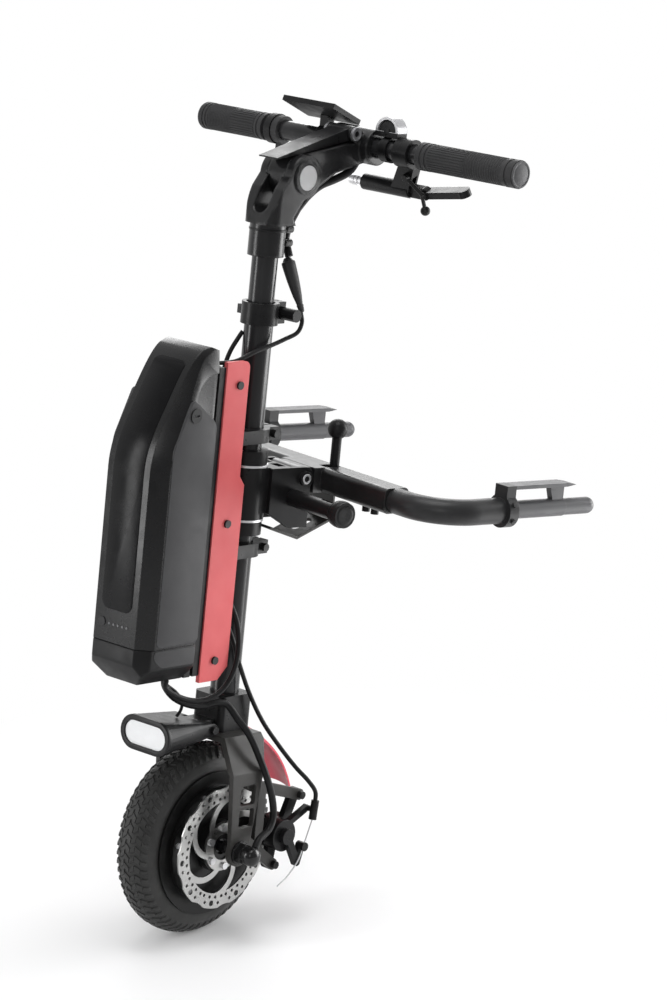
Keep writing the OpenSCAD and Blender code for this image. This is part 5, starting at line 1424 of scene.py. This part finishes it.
@dataclass
class Studio:
    """A pale floor that turns white far out, a white surround and soft light."""

    floor_size: float = 16.0
    floor_colours: tuple[Colour, Colour] = ((0.92, 0.92, 0.925), (0.94, 0.94, 0.945))
    floor_patch: float = 1.5
    middle: Point = (0.1, 0.12, 0.0)
    shadow_band: Pair = (0.12, 0.75)
    backdrop: Point = (-0.673, 0.740, 0.0)
    floor_band: Pair = (-0.3, 0.6)
    sky_band: Pair = (-0.3, 0.4)
    surround: float = 0.36
    white: tuple[float, float, float, float] = (1, 1, 1, 1)
    lamps: tuple[Lamp, ...] = (
        Lamp("top_softbox", (0.1, 0.0, 2.4), (0.05, 0.1, 0.4), (1.2, 1.2), 24),
        Lamp("back_softbox", (-1.45, 1.75, 1.4), (0.05, 0.1, 0.5), (1.4, 0.8), 17),
        Lamp("right_strip", (0.75, 1.62, 0.66), (0.05, 0.1, 0.66), (0.8, 1.2), 19),
        Lamp("low_strip", (0.54, 0.62, 0.24), (0.02, 0.03, 0.24), (0.3, 0.44), 2.0),
        Lamp("left_strip", (-0.82, -1.25, 0.66), (0.05, 0.1, 0.66), (0.35, 1.2), 10),
        Lamp("front_softbox", (1.6, -1.9, 1.7), (0.05, 0.1, 0.5), (1.0, 1.0), 9),
    )

    def seen(self, nodes: Nodes, where: NodeSocket, band: Pair) -> NodeSocket:
        """Gives 1 for rays that show the white: straight, through glass, or in a gloss facing the backdrop.

        Args:
            nodes: The builder of the nodes.
            where: The place or direction.
            band: The distances along the backdrop's direction at which its side starts and is whole.

        Returns:
            The factor's socket.
        """
        camera, through, gloss = (nodes.add("LightPath", f"Is {ray} Ray")
                                  for ray in ("Camera", "Transmission", "Glossy"))
        behind = nodes.spread(nodes.dot(where, self.backdrop), 0.0, 1.0, *band)
        straight = nodes.math("MAXIMUM", camera, through)
        return nodes.math("MAXIMUM", straight, nodes.math("MULTIPLY", gloss, behind))

    def floor(self) -> None:
        """Lays the floor: it takes the shadow near the object and is plain white far out."""
        floor = Workshop.start("plane", "studio_floor", size=self.floor_size)
        material = bpy.data.materials.new("studio_floor")
        nodes = Nodes(material)
        where = nodes.place()
        patches = nodes.spread(nodes.noise(where, self.floor_patch), 0.0, 1.0)
        nodes.fill("Principled BSDF", Base_Color=nodes.blend(patches, *self.floor_colours), Roughness=0.8,
                   Specular_IOR_Level=0.1)
        away = nodes.add("VectorMath", "Value", {0: where, 1: self.middle}, operation="DISTANCE")
        far_out = nodes.spread(away, 0.0, 1.0, *self.shadow_band)
        factor = nodes.math("MULTIPLY", far_out, self.seen(nodes, where, self.floor_band))
        white = nodes.add("Emission", "Emission", {"Strength": 1.0})
        pale = nodes.tree.nodes["Principled BSDF"].outputs["BSDF"]
        mixed = nodes.add("MixShader", "Shader", {0: factor, 1: pale, 2: white})
        nodes.fill("Material Output", Surface=mixed)
        floor.data.materials.append(material)

    def world(self) -> None:
        """Lights the scene from all round, with a white view."""
        world = bpy.data.worlds.new("studio")
        bpy.context.scene.world = world
        nodes = Nodes(world)
        nodes.fill("Background", Color=self.white, Strength=self.surround)
        plain = nodes.tree.nodes["Background"].outputs["Background"]
        white = nodes.add("Background", "Background", {"Color": self.white, "Strength": 1.0})
        factor = self.seen(nodes, nodes.add("TexCoord", "Generated"), self.sky_band)
        mixed = nodes.add("MixShader", "Shader", {0: factor, 1: plain, 2: white})
        nodes.fill("World Output", Surface=mixed)

    def build(self) -> None:
        """Builds the studio."""
        self.floor()
        self.world()
        for lamp in self.lamps:
            lamp.build()


@dataclass
class Camera:
    """The camera at the photograph's place."""

    azimuth: float = math.radians(42.27)
    elevation: float = math.radians(17.38)
    distance: float = 4.14418
    target: Point = (0.11845, 0.1, 0.49908)
    lens: float = 138.97
    sensor: float = 36.0

    def build(self) -> None:
        """Makes the camera and gives it to the scene."""
        out = math.cos(self.elevation)
        toward = Vector((math.sin(self.azimuth) * out, -math.cos(self.azimuth) * out,
                         math.sin(self.elevation)))
        data = bpy.data.cameras.new("photograph_view")
        data.lens = self.lens
        data.sensor_width = self.sensor
        camera = bpy.data.objects.new("photograph_view", data)
        camera.location = Vector(self.target) + toward * self.distance
        camera.rotation_euler = (-toward).to_track_quat("-Z", "Y").to_euler()
        bpy.context.scene.collection.objects.link(camera)
        bpy.context.scene.camera = camera


def main() -> None:
    """Builds the camera, the cables, every sub-assembly and the studio."""
    logging.basicConfig(level=logging.INFO, format="%(message)s")
    bpy.context.scene.view_settings.view_transform = "Standard"
    for assembly in (Camera(), Cabling(), Wheel(), ForkAndBrake(), Column(), Battery(), Mast(), Handlebar(),
                     DockingHead(), Studio()):
        assembly.build()


if __name__ == "__main__":
    main()
